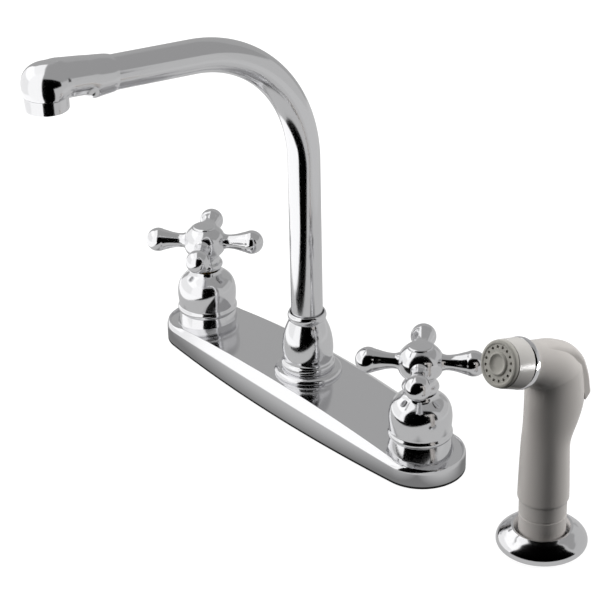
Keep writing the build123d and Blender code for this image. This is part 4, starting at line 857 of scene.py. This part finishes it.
@dataclass(frozen=True)
class Spout:
    """Spout: flange and bell nut on the plate, bent tube, nozzle and aerator."""

    tube_r: float = 9.525
    tube_wall: float = 1.225
    tube_foot: float = 38.4
    bend_r: float = 83.1
    corner_z: float = 234.1
    rise: float = math.radians(5.3)
    arm_end: float = 139.8
    outlet_y: float = -168.3
    outlet_z: float = 244.6
    dome_y: float = -167.7
    dome_z: float = 249.5
    dome_r: float = 13.4
    dome_h: float = 12.6
    dome_power: float = 2.2
    dome_tuck: float = 1.2
    cone_fade: float = 0.04
    fade_from: float = 160.0
    blend: float = 0.7
    nozzle_from: float = 129.2
    fine_to: float = 150.0
    bore_share: float = 9.575 / 10.1
    bore_depth: float = 10.0
    ray_span: tuple[float, float] = (0.5, 32.0)
    halvings: int = 36
    segments: int = 160

    def flange(self) -> Shape:
        """Flange under the bell nut."""
        skin = smooth([(19.8, 18.8), (20.5, 20.0), (20.0, 21.2), (18.5, 22.3), (16.9, 22.6)], 40)
        return lathe(outline([(12.3, 18.8)], skin, [(12.3, 22.6)]), self.segments)

    def bell_nut(self) -> Shape:
        """Bell nut: bead, belly, waist and rolled rim with the tube's hole."""
        skin = smooth([(15.1, 23.0), (16.05, 23.7), (16.3, 25.0), (16.0, 26.5), (15.05, 27.6), (14.8, 28.8),
                       (15.1, 31.0), (15.42, 34.2), (15.3, 38.2), (14.75, 42.6), (13.75, 46.8), (12.45, 50.4),
                       (11.15, 53.4), (10.85, 54.4), (11.2, 55.3), (11.6, 56.6), (11.55, 58.0), (11.1, 59.1),
                       (10.6, 59.6), (10.1, 59.3), (9.95, 58.6)], 200)
        return lathe(outline([(12.05, 22.6), (15.1, 22.6)], skin, [(9.95, 40.1), (11.5, 40.1), (11.5, 36.0),
                                                                   (12.05, 36.0)]), self.segments)

    def path(self, runs: tuple[int, int, int]) -> tuple[np.ndarray, np.ndarray]:
        """Centre line in the YZ plane: upright, arc of bend_r, rising arm.

        Args:
            runs: samples on the upright, the bend and the arm.

        Returns:
            Points (y, z) and the unit side normals (in-plane, outside of the bend).
        """
        sweep = math.pi / 2 - self.rise
        tangent = self.bend_r * math.tan(sweep / 2)
        bend_z = self.corner_z - tangent
        t = np.linspace(0, sweep, runs[1])
        arc = np.column_stack([-self.bend_r + self.bend_r * np.cos(t), bend_z + self.bend_r * np.sin(t)])
        up = np.column_stack([np.zeros(runs[0]), np.linspace(self.tube_foot, bend_z, runs[0])])
        heading = np.array([-math.cos(self.rise), math.sin(self.rise)])
        ahead = np.linspace(tangent, self.arm_end, runs[2])[:, None]
        arm = np.array([0.0, self.corner_z]) + ahead * heading
        turn = np.concatenate([np.zeros(runs[0] - 1), t, np.full(runs[2] - 1, sweep)])
        side = np.column_stack([np.cos(turn), np.sin(turn)])
        return np.concatenate([up[:-1], arc, arm[1:]]), side

    def tube(self) -> Shape:
        """Tube: circle (x, side) carried along the path, out along the wall and back inside.

        Returns:
            The closed tube.
        """
        line, side = self.path((24, 110, 30))
        a = np.linspace(0, FULL_TURN, self.segments, endpoint=False)

        def skin(radius: float) -> np.ndarray:
            """Rows P(i, a) = line_i + radius cos a side_i, with x = radius sin a."""
            y, z = np.moveaxis(line[:, :, None] + radius * np.cos(a) * side[:, :, None], 1, 0)
            return np.stack([radius * np.sin(a) + 0 * y, y, z], axis=-1)

        rows = np.concatenate([skin(self.tube_r), skin(self.tube_r - self.tube_wall)[::-1]])
        return grid(rows[:, ::-1], True, True)

    def nozzle_sections(self) -> np.ndarray:
        """Rows (station, top, bottom, half width) of the nozzle's cone about the arm's axis."""
        return np.array([
            (129.2, 10.15, 10.1, 10.15), (131.0, 10.5, 10.35, 10.45), (134.0, 10.85, 10.65, 10.7),
            (138.0, 11.2, 11.1, 10.95), (140.4, 11.4, 11.4, 11.1), (142.0, 11.55, 11.3, 11.2),
            (143.6, 11.7, 10.6, 11.3), (145.2, 11.85, 9.5, 11.4), (147.0, 12.0, 8.8, 11.5),
            (150.0, 12.25, 8.5, 11.65), (155.0, 12.6, 8.4, 11.95), (160.0, 13.0, 8.3, 12.2),
            (166.0, 13.3, 8.2, 12.5), (190.0, 13.4, 8.2, 12.5)])

    def nozzle_distance(self, at: np.ndarray) -> np.ndarray:
        """Signed distance, to first order, of points from the nozzle's skin.

        The cone's is (|(x / wide, (up - mid) / half)| - 1) half, the dome's that of half an oval over a
        wall that tucks in towards the outlet; their smooth minimum is -k ln(exp(-a / k) + exp(-b / k)).

        Args:
            at: points, with their coordinates in the last axis.

        Returns:
            The distances, below zero inside.
        """
        c, s = math.cos(self.rise), math.sin(self.rise)
        rise = at[..., 2] - self.corner_z
        station, up = -at[..., 1] * c + rise * s, at[..., 1] * s + rise * c
        rows = self.nozzle_sections()
        held = np.clip(station, rows[0, 0], rows[-1, 0])
        sizes = spline_at(rows[:, 0], rows[:, 1:], held.ravel()).reshape(*held.shape, 3)
        top, bottom, wide = np.moveaxis(sizes, -1, 0)
        half = (top + bottom) / 2
        cone = (np.hypot(at[..., 0] / wide, (up - (top - bottom) / 2) / half) - 1) * half
        cone = cone + self.cone_fade * np.maximum(station - self.fade_from, 0.0) ** 2
        radius = np.hypot(at[..., 0], at[..., 1] - self.dome_y)
        high = at[..., 2] - self.dome_z
        power, k = self.dome_power, self.blend
        share = (radius / self.dome_r) ** power + (np.maximum(high, 0.0) / self.dome_h) ** power
        oval = (share ** (1 / power) - 1) * self.dome_r
        tuck = self.dome_tuck * (np.minimum(high, 0.0) / (self.dome_z - self.outlet_z)) ** 2
        dome = np.maximum(oval + tuck, self.outlet_z - at[..., 2])
        low = np.minimum(cone, dome)
        return low - k * np.log(np.exp((low - cone) / k) + np.exp((low - dome) / k))

    def nozzle(self) -> Shape:
        """Nozzle: a flared cone along the arm melted into an upright dome over the outlet.

        Rays leave the arm's axis square to it up to the dome's middle and then fan out forwards from
        there; each ray's skin point, where the distance is zero, is found by halving.

        Returns:
            The nozzle, with the tube's bore at its back.
        """
        c, s = math.cos(self.rise), math.sin(self.rise)
        ahead, above, across = np.array([0.0, -c, s]), np.array([0.0, s, c]), np.array([1.0, 0.0, 0.0])
        corner = np.array([0.0, 0.0, self.corner_z])
        stop = -self.outlet_y / c
        station = np.concatenate([np.linspace(self.nozzle_from, self.fine_to, 80),
                                  np.linspace(self.fine_to, stop, 60)[1:]])
        fan = np.linspace(0.0, math.pi / 2, 60)[1:]
        tilt = np.concatenate([0 * station, fan])[:, None, None]
        start = corner + np.concatenate([station, np.full(len(fan), stop)])[:, None, None] * ahead
        a = np.linspace(0, FULL_TURN, self.segments, endpoint=False)[None, :, None]
        heading = np.sin(tilt) * ahead + np.cos(tilt) * (np.cos(a) * above + np.sin(a) * across)
        near, far = (np.full(heading.shape[:2], end) for end in self.ray_span)
        for _ in range(self.halvings):
            mid = (near + far) / 2
            inside = self.nozzle_distance(start + mid[..., None] * heading) < 0
            near, far = np.where(inside, mid, near), np.where(inside, far, mid)
        points = start + near[..., None] * heading
        points[-1] = points[-1].mean(axis=0)
        centre = start[0]
        bore = centre + (points[:1] - centre) * self.bore_share
        inner = bore + self.bore_depth * ahead
        plug = inner * 0 + inner.mean(axis=1, keepdims=True)
        return grid(np.concatenate([plug, inner, bore, points])[:, ::-1], False, True).welded()

    def aerator(self) -> Shape:
        """Aerator housing: plain ring with an eased lower edge and an inner lip."""
        skin = rounded([(7.4, 238.2), (7.4, 237.0), (11.8, 237.0), (11.8, 244.6), (9.6, 244.6), (9.6, 248.5),
                        (8.6, 248.5), (8.6, 238.2)], 0.6, 6)
        return lathe(skin, 128).shifted(0, self.outlet_y, 0)

    def build(self) -> None:
        """Builds and dresses the spout's pieces."""
        for node, shape, body in (("spout_flange", self.flange(), Body.BASE),
                                  ("spout_bell", self.bell_nut(), Body.BASE),
                                  ("spout_tube", self.tube(), Body.SPOUT),
                                  ("spout_nozzle", self.nozzle(), Body.SPOUT)):
            dress(new_object(f"{node}_skin", shape), body, CHROME, node)
        dress(new_object("aerator_skin", self.aerator()), Body.SPOUT, CHROME, "aerator_housing")


@dataclass(frozen=True)
class Sprayer:
    """Side sprayer in its holder: shell, trigger lever and spray head."""

    axis_x: float = 203.2
    axis_y: float = -2.4
    pitch: float = math.radians(18.9)
    head_y: float = -17.7
    head_z: float = 118.45
    fan_y: float = -23.07
    fan_z: float = 100.13
    pin_y: float = 2.0
    pin_z: float = 123.0
    pin_r: float = 1.0
    pin_half: float = 3.5
    pin_gap: float = 0.05
    pin_end_gap: float = 0.2
    shell_end: float = 2.6
    hole_ring_r: float = 8.75
    hole_r: float = 0.78
    hole_count: int = 16
    lever_half: float = 8.0
    lever_edge: float = 2.4
    slot_half: float = 8.4
    segments: int = 144

    def placed(self, shape: Shape) -> Shape:
        """Shape moved from the sprayer's axis to its place beside the plate."""
        return shape.shifted(self.axis_x, self.axis_y, 0)

    def head_placed(self, shape: Shape) -> Shape:
        """Moves a shape of the head to its place.

        Args:
            shape: shape turned about Z, with Z running out of the spray face.

        Returns:
            The shape on the sprayer.
        """
        c, s = math.cos(self.pitch), math.sin(self.pitch)
        turn = Matrix(((1, 0, 0, self.axis_x), (0, -s, -c, self.axis_y + self.head_y),
                       (0, -c, s, self.head_z), (0, 0, 0, 1)))
        turned = shape.moved(turn)
        return Shape(turned.points, [f[::-1] for f in turned.faces])

    def holder(self) -> Shape:
        """Holder: rolled rim, dome, mouth, shelf and shank."""
        skin = smooth([(22.9, 0.0), (24.1, 0.7), (24.75, 1.8), (24.9, 3.0), (24.5, 4.6), (23.2, 6.4),
                       (21.2, 8.2), (19.2, 9.8), (17.6, 10.9), (16.9, 11.4)], 90)
        return lathe(outline([(9.8, -42.0), (13.0, -42.0), (13.0, 0.0)], skin, [
            (16.4, 11.38), (15.6, 11.2), (13.4, 8.6), (13.4, 3.0), (9.8, 3.0)]), self.segments)

    def shell_rows(self) -> np.ndarray:
        """Sections up the grip and round the elbow.

        Returns:
            Rows (origin y, origin z, tilt, reach in, reach out, half width).
        """
        foot = np.array([(3.06, 12.4), (3.6, 13.0), (10.0, 13.0), (19.3, 13.0), (19.7, 12.7), (20.5, 12.7),
                         (20.9, 13.0), (28.4, 13.0), (29.2, 13.2), (30.2, 13.85), (30.9, 14.0)])
        level, r = foot.T
        lower = np.column_stack([0 * level, level, 0 * level, -r, r, r])
        grip = np.array([
            (30.9, -14.0, 14.0, 14.0), (38.0, -13.85, 13.85, 13.85), (46.0, -13.6, 13.6, 13.6),
            (54.0, -13.35, 13.35, 13.35), (60.0, -13.15, 13.15, 13.15), (64.0, -13.0, 13.3, 13.05),
            (68.0, -12.85, 14.6, 13.0), (72.0, -12.75, 17.0, 13.0), (76.0, -12.7, 19.5, 13.1),
            (82.0, -12.7, 22.3, 13.2), (90.0, -12.7, 23.4, 13.2)])
        nought = np.zeros(len(grip))
        upright = np.column_stack([nought, grip[:, 0], nought, grip[:, 1:]])
        fan = np.array([(6, 10.6, 44.4, 13.2), (14, 9.8, 42.6, 13.2), (25, 9.0, 39.6, 13.1),
                        (38, 8.2, 36.2, 12.9), (54, 7.8, 32.4, 12.2), (71.1, 7.7, 30.4, 11.4)])
        bend = np.column_stack([np.full(len(fan), self.fan_y), np.full(len(fan), self.fan_z),
                                np.radians(fan[:, 0]), fan[:, 1:]])
        upper = np.concatenate([upright, bend])
        knots = np.arange(len(upper), dtype=float)
        smooth_rows = spline_at(knots, upper, np.linspace(0, knots[-1], 170))
        return np.concatenate([lower[:-1], smooth_rows])

    def shell(self) -> Shape:
        """Shell: oval sections P(i, a) = origin + (mid + half cos a) d + wide sin a x.

        The direction d is (cos tilt, sin tilt) in the YZ plane.

        Returns:
            The closed shell, before the lever's slot is cut.
        """
        rows = self.shell_rows()
        a = np.linspace(0, FULL_TURN, self.segments, endpoint=False)
        y0, z0, tilt, reach_in, reach_out, wide = rows.T[:, :, None]
        reach = (reach_in + reach_out) / 2 + (reach_out - reach_in) / 2 * np.cos(a)
        points = np.stack([wide * np.sin(a), y0 + reach * np.cos(tilt), z0 + reach * np.sin(tilt)], axis=-1)
        c, s = math.cos(self.pitch), math.sin(self.pitch)
        out = np.array([0, -c, s])
        ahead = (points[-1] - np.array([0, self.head_y, self.head_z])) @ out
        end = points[-1] + (self.shell_end - ahead)[:, None] * out
        closing = end.mean(axis=0) + 0 * end
        start = points[0].mean(axis=0) + 0 * points[0]
        return grid(np.concatenate([start[None], points, end[None], closing[None]]), False, True).welded()

    def slot(self) -> Shape:
        """Slot for the lever: side outline carried across the shell."""
        side = np.array([(-8.9, 136), (-8.9, 122.2), (-0.5, 118.4), (3.6, 117.2), (7.4, 112.8), (10.6, 107.2),
                         (12.8, 100.8), (13.7, 94.5), (14.2, 83.2), (36, 83.2), (36, 136)], float)
        return self.prism(side, self.slot_half)

    def prism(self, side: np.ndarray, half: float) -> Shape:
        """Closed prism between x = -half and x = half.

        Args:
            side: its (y, z) outline.
            half: half its width.

        Returns:
            The prism.
        """
        n = len(side)
        ends = [np.column_stack([np.full(n, x), side]) for x in (-half, half)]
        ring = np.arange(n)
        sides = np.stack([ring, (ring + 1) % n, (ring + 1) % n + n, ring + n], axis=-1)[:, ::-1]
        faces = sides.tolist() + [ring.tolist(), (ring + n)[::-1].tolist()]
        return Shape(np.concatenate(ends), faces)

    def lever(self) -> Shape:
        """Lever: crowned section carried along its back curve O(t), down to its front curve I(t).

        A point at x lies at O + u d with u the unit step from O to I and d = crown (x / w)^2 over the
        back, plus r (1 - cos q) round the edges, and the full thickness at the sides.

        Returns:
            The lever, before the pin's hole is cut.
        """
        back = smooth([(-8.5, 127.55), (-3.9, 126.4), (1.8, 124.9), (6.4, 123.1), (10.0, 121.3),
                       (14.5, 118.6), (18.0, 114.9), (20.4, 111.2), (22.6, 105.6), (24.5, 99.2),
                       (25.4, 93.5), (26.0, 90.2)], 110)
        front = smooth([(-8.5, 122.8), (-3.0, 120.4), (2.0, 119.2), (5.2, 118.4), (9.8, 114.8), (13.8, 109.3),
                        (16.9, 103.0), (18.6, 97.0), (19.6, 91.5), (20.8, 85.2)], 110)
        w, r = self.lever_half, self.lever_edge
        q = np.linspace(0, math.pi / 2, 8)
        flat = np.linspace(-(w - r), w - r, 15)[1:-1]
        across = np.concatenate([[-w], -(w - r) - r * np.sin(q[::-1]), flat, (w - r) + r * np.sin(q), [w]])
        ease = np.concatenate([[0.0], r * (1 - np.cos(q[::-1])), 0 * flat, r * (1 - np.cos(q)), [0.0]])
        thick = np.linalg.norm(front - back, axis=1, keepdims=True)
        crown = np.interp(np.linspace(0, 1, len(back)), [0.0, 0.35, 0.75, 1.0], [2.6, 2.4, 1.2, 0.8])[:, None]
        drop = crown * (across / w) ** 2 + ease
        drop[:, [0, -1]] = thick
        step = (front - back) / thick
        y, z = back[:, :1] + step[:, :1] * drop, back[:, 1:] + step[:, 1:] * drop
        points = np.stack([across + 0 * y, y, z], axis=-1)
        tip = points[:1].mean(axis=1, keepdims=True) + 0 * points[:1]
        tail = points[-1:].mean(axis=1, keepdims=True) + 0 * points[-1:]
        return grid(np.concatenate([tip, points, tail])[:, ::-1], False, True).welded()

    def pin(self, radius: float, half: float) -> Shape:
        """Pin of the lever, lying along X."""
        rows = np.array([(-half, 0.0), (-half, radius), (half, radius), (half, 0.0)])
        return along_x(rows, 32).shifted(0, self.pin_y, self.pin_z)

    def trim(self) -> Shape:
        """Chrome ring between shell and collar."""
        skin = smooth([(12.9, 2.4), (13.5, 2.7), (13.78, 3.5), (13.8, 4.6), (13.65, 5.6), (13.2, 6.2)], 40)
        return lathe(outline([(9.45, 2.4)], skin, [(9.45, 6.2)]), self.segments)

    def collar(self) -> Shape:
        """Collar: glossy sleeve that narrows to an eased front edge."""
        skin = rounded([(9.45, 6.2), (13.5, 6.2), (12.7, 17.4), (10.45, 17.4), (10.45, 8.2),
                        (9.45, 8.2)], 0.4, 6)
        return lathe(skin, self.segments)

    def face(self) -> Shape:
        """Spray face: rolled rim, flat ring for the holes, raised lip and a dished middle.

        Returns:
            The face, before its holes are cut.
        """
        rim = smooth([(12.4, 19.0), (12.15, 19.65), (11.5, 20.05), (10.6, 20.1), (10.1, 19.7)], 24)
        lip = smooth([(6.4, 19.7), (5.9, 20.5), (5.2, 20.8), (4.7, 20.4), (3.5, 19.5), (1.8, 19.25),
                      (0.0, 19.2)], 40)
        return lathe(outline([(0.0, 13.0), (10.4, 13.0), (10.4, 17.4), (12.4, 17.4)], rim, lip),
                     self.segments, closed=False)

    def face_holes(self) -> Shape:
        """Holes drilled on one ring of the face.

        Returns:
            The drills, as one shape.
        """
        r = self.hole_r
        drill = lathe(np.array([(0.0, 14.0), (r, 14.0), (r, 21.0), (0.0, 21.0)]), 16, closed=False)
        turns = np.arange(self.hole_count) * FULL_TURN / self.hole_count
        ring = self.hole_ring_r
        return Shape.joined([drill.shifted(ring * math.cos(t), ring * math.sin(t), 0) for t in turns])

    def build(self) -> None:
        """Builds and dresses the holder and the sprayer's pieces."""
        dress(new_object("holder_skin", self.placed(self.holder())), Body.BASE, CHROME, "sprayer_holder")
        shell = new_object("shell_skin", self.placed(self.shell()))
        cut(shell, self.placed(self.slot()))
        dress(shell, Body.SPRAYER, SHELL, "sprayer_shell")
        lever = new_object("lever_skin", self.placed(self.lever()))
        cut(lever, self.placed(self.pin(self.pin_r + self.pin_gap, self.pin_half + self.pin_end_gap)))
        dress(lever, Body.TRIGGER, SHELL, "trigger_lever")
        pin = new_object("pin_skin", self.placed(self.pin(self.pin_r, self.pin_half)))
        dress(pin, Body.SPRAYER, STEEL, "trigger_pin")
        for name, shape, finish, node in (("trim", self.trim(), CHROME, "head_trim_ring"),
                                          ("collar", self.collar(), COLLAR, "spray_collar")):
            dress(new_object(f"{name}_skin", self.head_placed(shape)), Body.SPRAYER, finish, node)
        face = new_object("face_skin", self.head_placed(self.face()))
        cut(face, self.head_placed(self.face_holes()))
        dress(face, Body.SPRAYER, FACE, "spray_face")


# Studio


@dataclass(frozen=True)
class Camera:
    """Camera of the photograph, from a fit of known points."""

    azimuth: float = CAMERA_AZIMUTH
    elevation: float = math.radians(27.4787)
    roll: float = math.radians(-1.0105)
    place: tuple[float, float, float] = (873.844, -696.187, 659.708)
    lens: float = 127.4
    sensor: float = 36.0
    shift: tuple[float, float] = (-0.03067, -0.03023)
    clip: tuple[float, float] = (0.05, 20.0)

    def build(self) -> None:
        """Adds the camera and makes it the scene's own."""
        a, e, r = self.azimuth, self.elevation, self.roll
        back = Vector((math.sin(a) * math.cos(e), -math.cos(a) * math.cos(e), math.sin(e)))
        right = Vector((math.cos(a), math.sin(a), 0.0))
        up = back.cross(right)
        x_axis = right * math.cos(r) + up * math.sin(r)
        y_axis = up * math.cos(r) - right * math.sin(r)
        data = bpy.data.cameras.new("camera")
        data.lens, data.sensor_width = self.lens, self.sensor
        data.shift_x, data.shift_y = self.shift
        data.clip_start, data.clip_end = self.clip
        obj = bpy.data.objects.new("camera", data)
        columns = (*x_axis, 0), (*y_axis, 0), (*back, 0), (*(v * MM for v in self.place), 1)
        obj.matrix_world = Matrix(columns).transposed()
        bpy.context.scene.collection.objects.link(obj)
        bpy.context.scene.camera = obj


def bare_material(name: str) -> tuple[bpy.types.Material, Nodes]:
    """Material without nodes.

    Args:
        name: its name.

    Returns:
        The material, and the way to add nodes to it.
    """
    mat = bpy.data.materials.new(name)
    mat.use_nodes = True
    mat.node_tree.nodes.clear()
    return mat, Nodes(mat.node_tree)


@dataclass(frozen=True)
class Card:
    """Flat card of the light tent: corners as (right, away, up) from the camera's side, in mm.

    Metal sees it at its glow, and it lights plain surfaces by its lamp.
    """

    name: str
    corners: tuple[tuple[float, float, float], ...]
    glow: float
    lamp: float

    def material(self) -> bpy.types.Material:
        """Material that glows at one strength to metal and at another to plain surfaces.

        Returns:
            The material.
        """
        mat, n = bare_material(self.name)
        plain = n.add("ShaderNodeLightPath").outputs["Is Diffuse Ray"]
        n.surface(n.emission(n.spread(plain, 0.0, 1.0, self.glow, self.lamp)))
        return mat


@dataclass(frozen=True)
class Studio:
    """Light tent with an open front, on a pale floor that looks white to the camera."""

    azimuth: float = CAMERA_AZIMUTH
    front: float = -205.0
    sheet_front: float = -120.0
    left: float = -150.0
    right: float = 270.0
    far_left: float = -600.0
    far_right: float = 800.0
    back: float = 760.0
    top: float = 950.0
    gap_top: float = 375.0
    wall_split: float = 420.0
    floor_reach: float = 6000.0
    # plate_half, the shadow run and sheet_glow paint a contact shadow on the floor sheet that metal sees:
    # darkest at the plate's footprint, open grey further out.
    plate_half: tuple[float, float] = (128.0, 30.0)
    painted_shadow_run: float = 13.0
    sheet_glow: tuple[float, float] = (0.22, 0.55)
    left_glow: float = 1.2
    right_glow: float = 0.6
    floor_white: float = 0.91
    shadow_grey: float = 0.2
    bounce_grey: float = 0.06
    far_angle: float = math.radians(25.0)
    lamp_spot: tuple[float, float, float] = (251.0, -205.0, 102.0)
    lamp_size: tuple[float, float] = (100.0, 35.0)
    lamp_power: float = 0.16

    def spot(self, right: float, away: float, up: float) -> tuple[float, float, float]:
        """Point given as right, away and up from the camera's side."""
        c, s = math.cos(self.azimuth), math.sin(self.azimuth)
        return (right * c - away * s, right * s + away * c, up)

    def panels(self) -> list[Card]:
        """Cards of the tent.

        Returns:
            The cards, with their glow and lamp strengths.
        """
        l, r, f, b, t, g = self.far_left, self.far_right, self.front, self.back, self.top, self.gap_top
        gap_l, gap_r, half = self.left, self.right, self.wall_split
        return [
            Card("left_wall_low", ((l, f, -1), (l, b, -1), (l, b, half), (l, f, half)), 1.0, 1.35),
            Card("left_wall_high", ((l, f, half), (l, b, half), (l, b, t), (l, f, t)), 1.25, 1.35),
            Card("right_wall_low", ((r, f, -1), (r, b, -1), (r, b, half), (r, f, half)), 0.54, 1.1),
            Card("right_wall_high", ((r, f, half), (r, b, half), (r, b, t), (r, f, t)), 0.36, 0.9),
            Card("back_wall", ((l, b, -1), (r, b, -1), (r, b, t), (l, b, t)), 0.42, 1.2),
            Card("ceiling_left", ((l, f, t), (gap_l, f, t), (gap_l, b, t), (l, b, t)), 1.1, 1.15),
            Card("ceiling", ((gap_l, f, t), (r, f, t), (r, b, t), (gap_l, b, t)), 0.36, 1.05),
            Card("front_left", ((l, f, -1), (gap_l, f, -1), (gap_l, f, t), (l, f, t)), 1.15, 0.3),
            Card("front_right", ((gap_r, f, -1), (r, f, -1), (r, f, g), (gap_r, f, g)), 0.56, 0.0),
            Card("front_top", ((gap_l, f, g), (r, f, g), (r, f, t), (gap_l, f, t)), 0.36, 0.0),
        ]

    def far_lamp(self, name: str, bearing: float, height: float, power: float) -> None:
        """Far lamp for the plain surfaces, which metal does not mirror.

        Args:
            name: the lamp's name.
            bearing: turn to the right of the camera's side, in degrees.
            height: angle over the floor, in degrees.
            power: strength of the lamp.
        """
        turn, lift = math.radians(bearing), math.radians(height)
        data = bpy.data.lights.new(name, "SUN")
        data.energy, data.angle = power, self.far_angle
        lamp = bpy.data.objects.new(name, data)
        source = self.spot(math.sin(turn) * math.cos(lift), -math.cos(turn) * math.cos(lift), math.sin(lift))
        lamp.rotation_euler = Vector(source).to_track_quat("Z", "Y").to_euler()
        lamp.visible_glossy = False
        bpy.context.scene.collection.objects.link(lamp)

    def side_lamp(self) -> None:
        """Small lamp at the right that gives the spray head's collar and ring their highlight."""
        data = bpy.data.lights.new("side_lamp", "AREA")
        data.shape = "RECTANGLE"
        data.size, data.size_y = (v * MM for v in self.lamp_size)
        data.energy = self.lamp_power
        lamp = bpy.data.objects.new("side_lamp", data)
        c, s = math.cos(self.azimuth), math.sin(self.azimuth)
        x, y, z = (v * MM for v in self.spot(*self.lamp_spot))
        lamp.matrix_world = Matrix(((-s, 0, c, x), (c, 0, s, y), (0, 1, 0, z), (0, 0, 0, 1)))
        bpy.context.scene.collection.objects.link(lamp)
        lit = bpy.data.collections.new("side_lit")
        for name in ("collar_skin", "trim_skin"):
            lit.objects.link(bpy.data.objects[name])
        lamp.light_linking.receiver_collection = lit
        lamp.visible_diffuse = False

    def floor_material(self) -> bpy.types.Material:
        """Floor: white to the camera, a grey sheet with a dark gap in front and a bright left part to metal,
        with a painted contact shadow that darkens the sheet near the plate.

        Returns:
            The material.
        """
        mat, n = bare_material("floor")
        place = n.add("ShaderNodeTexCoord").outputs["Object"]
        turn = n.add("ShaderNodeMapping", vector_type="TEXTURE")
        turn.inputs["Rotation"].default_value = (0.0, 0.0, self.azimuth)
        n.join(place, turn.inputs["Vector"])
        across, away, _ = n.split(turn.outputs["Vector"])
        x, y, _ = n.split(place)
        # Painted contact shadow: the sheet's glow is darkest at the plate's footprint and rises to its open
        # level over a short run.
        beside, beyond = (n.maths("SUBTRACT", n.maths("ABSOLUTE", part), half * MM)
                          for part, half in ((y, self.plate_half[1]), (x, self.plate_half[0])))
        painted_shadow = n.spread(n.maths("MAXIMUM", beside, beyond), 0.0, self.painted_shadow_run * MM, *self.sheet_glow)
        sheet = n.maths("MULTIPLY", n.maths("GREATER_THAN", y, self.sheet_front * MM), painted_shadow)
        in_tent = n.maths("GREATER_THAN", away, self.front * MM)
        on_left = n.maths("MULTIPLY", n.maths("LESS_THAN", across, self.left * MM), in_tent)
        on_right = n.maths("MULTIPLY", n.maths("GREATER_THAN", across, self.right * MM), in_tent)
        left = n.maths("MULTIPLY", on_left, self.left_glow)
        right = n.maths("MULTIPLY", on_right, self.right_glow)
        seen = n.emission(n.maths("MAXIMUM", n.maths("MAXIMUM", sheet, left), right))
        path = n.add("ShaderNodeLightPath").outputs
        pale = n.feed(n.add("ShaderNodeAddShader"), n.emission(self.floor_white), n.diffuse(self.shadow_grey))
        bounced = n.diffuse(self.bounce_grey)
        unseen = n.feed(n.add("ShaderNodeMixShader"), path["Is Glossy Ray"], bounced, seen)
        n.surface(n.feed(n.add("ShaderNodeMixShader"), path["Is Camera Ray"], unseen, pale))
        return mat

    def world(self) -> None:
        """World that is white to the camera and dark, like the room, to everything else."""
        world = bpy.data.worlds.new("world")
        bpy.context.scene.world = world
        world.use_nodes = True
        n = Nodes(world.node_tree)
        background = world.node_tree.nodes["Background"].inputs
        background["Color"].default_value = (1.0, 1.0, 1.0, 1.0)
        n.join(n.add("ShaderNodeLightPath").outputs["Is Camera Ray"], background["Strength"])

    def build(self) -> None:
        """Adds the floor, the cards, the lamps and the world, and the plain view settings."""
        for card in self.panels():
            points = np.array([self.spot(*c) for c in card.corners])
            obj = new_object(card.name, Shape(points, [[0, 1, 2, 3]]))
            obj.data.materials.append(card.material())
            obj.visible_camera = False
            obj.visible_shadow = False
        square = np.array([(-1, -1, 0), (1, -1, 0), (1, 1, 0), (-1, 1, 0)]) * self.floor_reach
        floor = new_object("floor", Shape(square, [[0, 1, 2, 3]]))
        floor.data.materials.append(self.floor_material())
        self.far_lamp("left_lamp", -80.0, 24.0, 1.25)
        self.far_lamp("right_lamp", 96.0, 22.0, 2.1)
        self.side_lamp()
        self.world()
        bpy.context.scene.view_settings.view_transform = "Standard"


def dress_cad_nodes() -> None:
    """Gives every carried-over CAD node the finish of its material slot."""
    for row in frame["record"]["subparts"]:
        node = frame["nodes"][row["node"]]
        node.data.materials.clear()
        node.data.materials.append(FINISHES[row["material_slot"]].material())
        LOG.info("%s: %s", row["node"], row["material_slot"])


def main() -> None:
    """Builds the faucet, the sprayer and the studio in order."""
    logging.basicConfig(level=logging.INFO, format="%(name)s %(message)s")
    dress_cad_nodes()
    DeckPlate().build()
    HandleSet("left", Body.LEFT_HANDLE, -101.6).build()
    HandleSet("right", Body.RIGHT_HANDLE, 101.6).build()
    Spout().build()
    Sprayer().build()
    Camera().build()
    Studio().build()


if __name__ == "__main__":
    main()
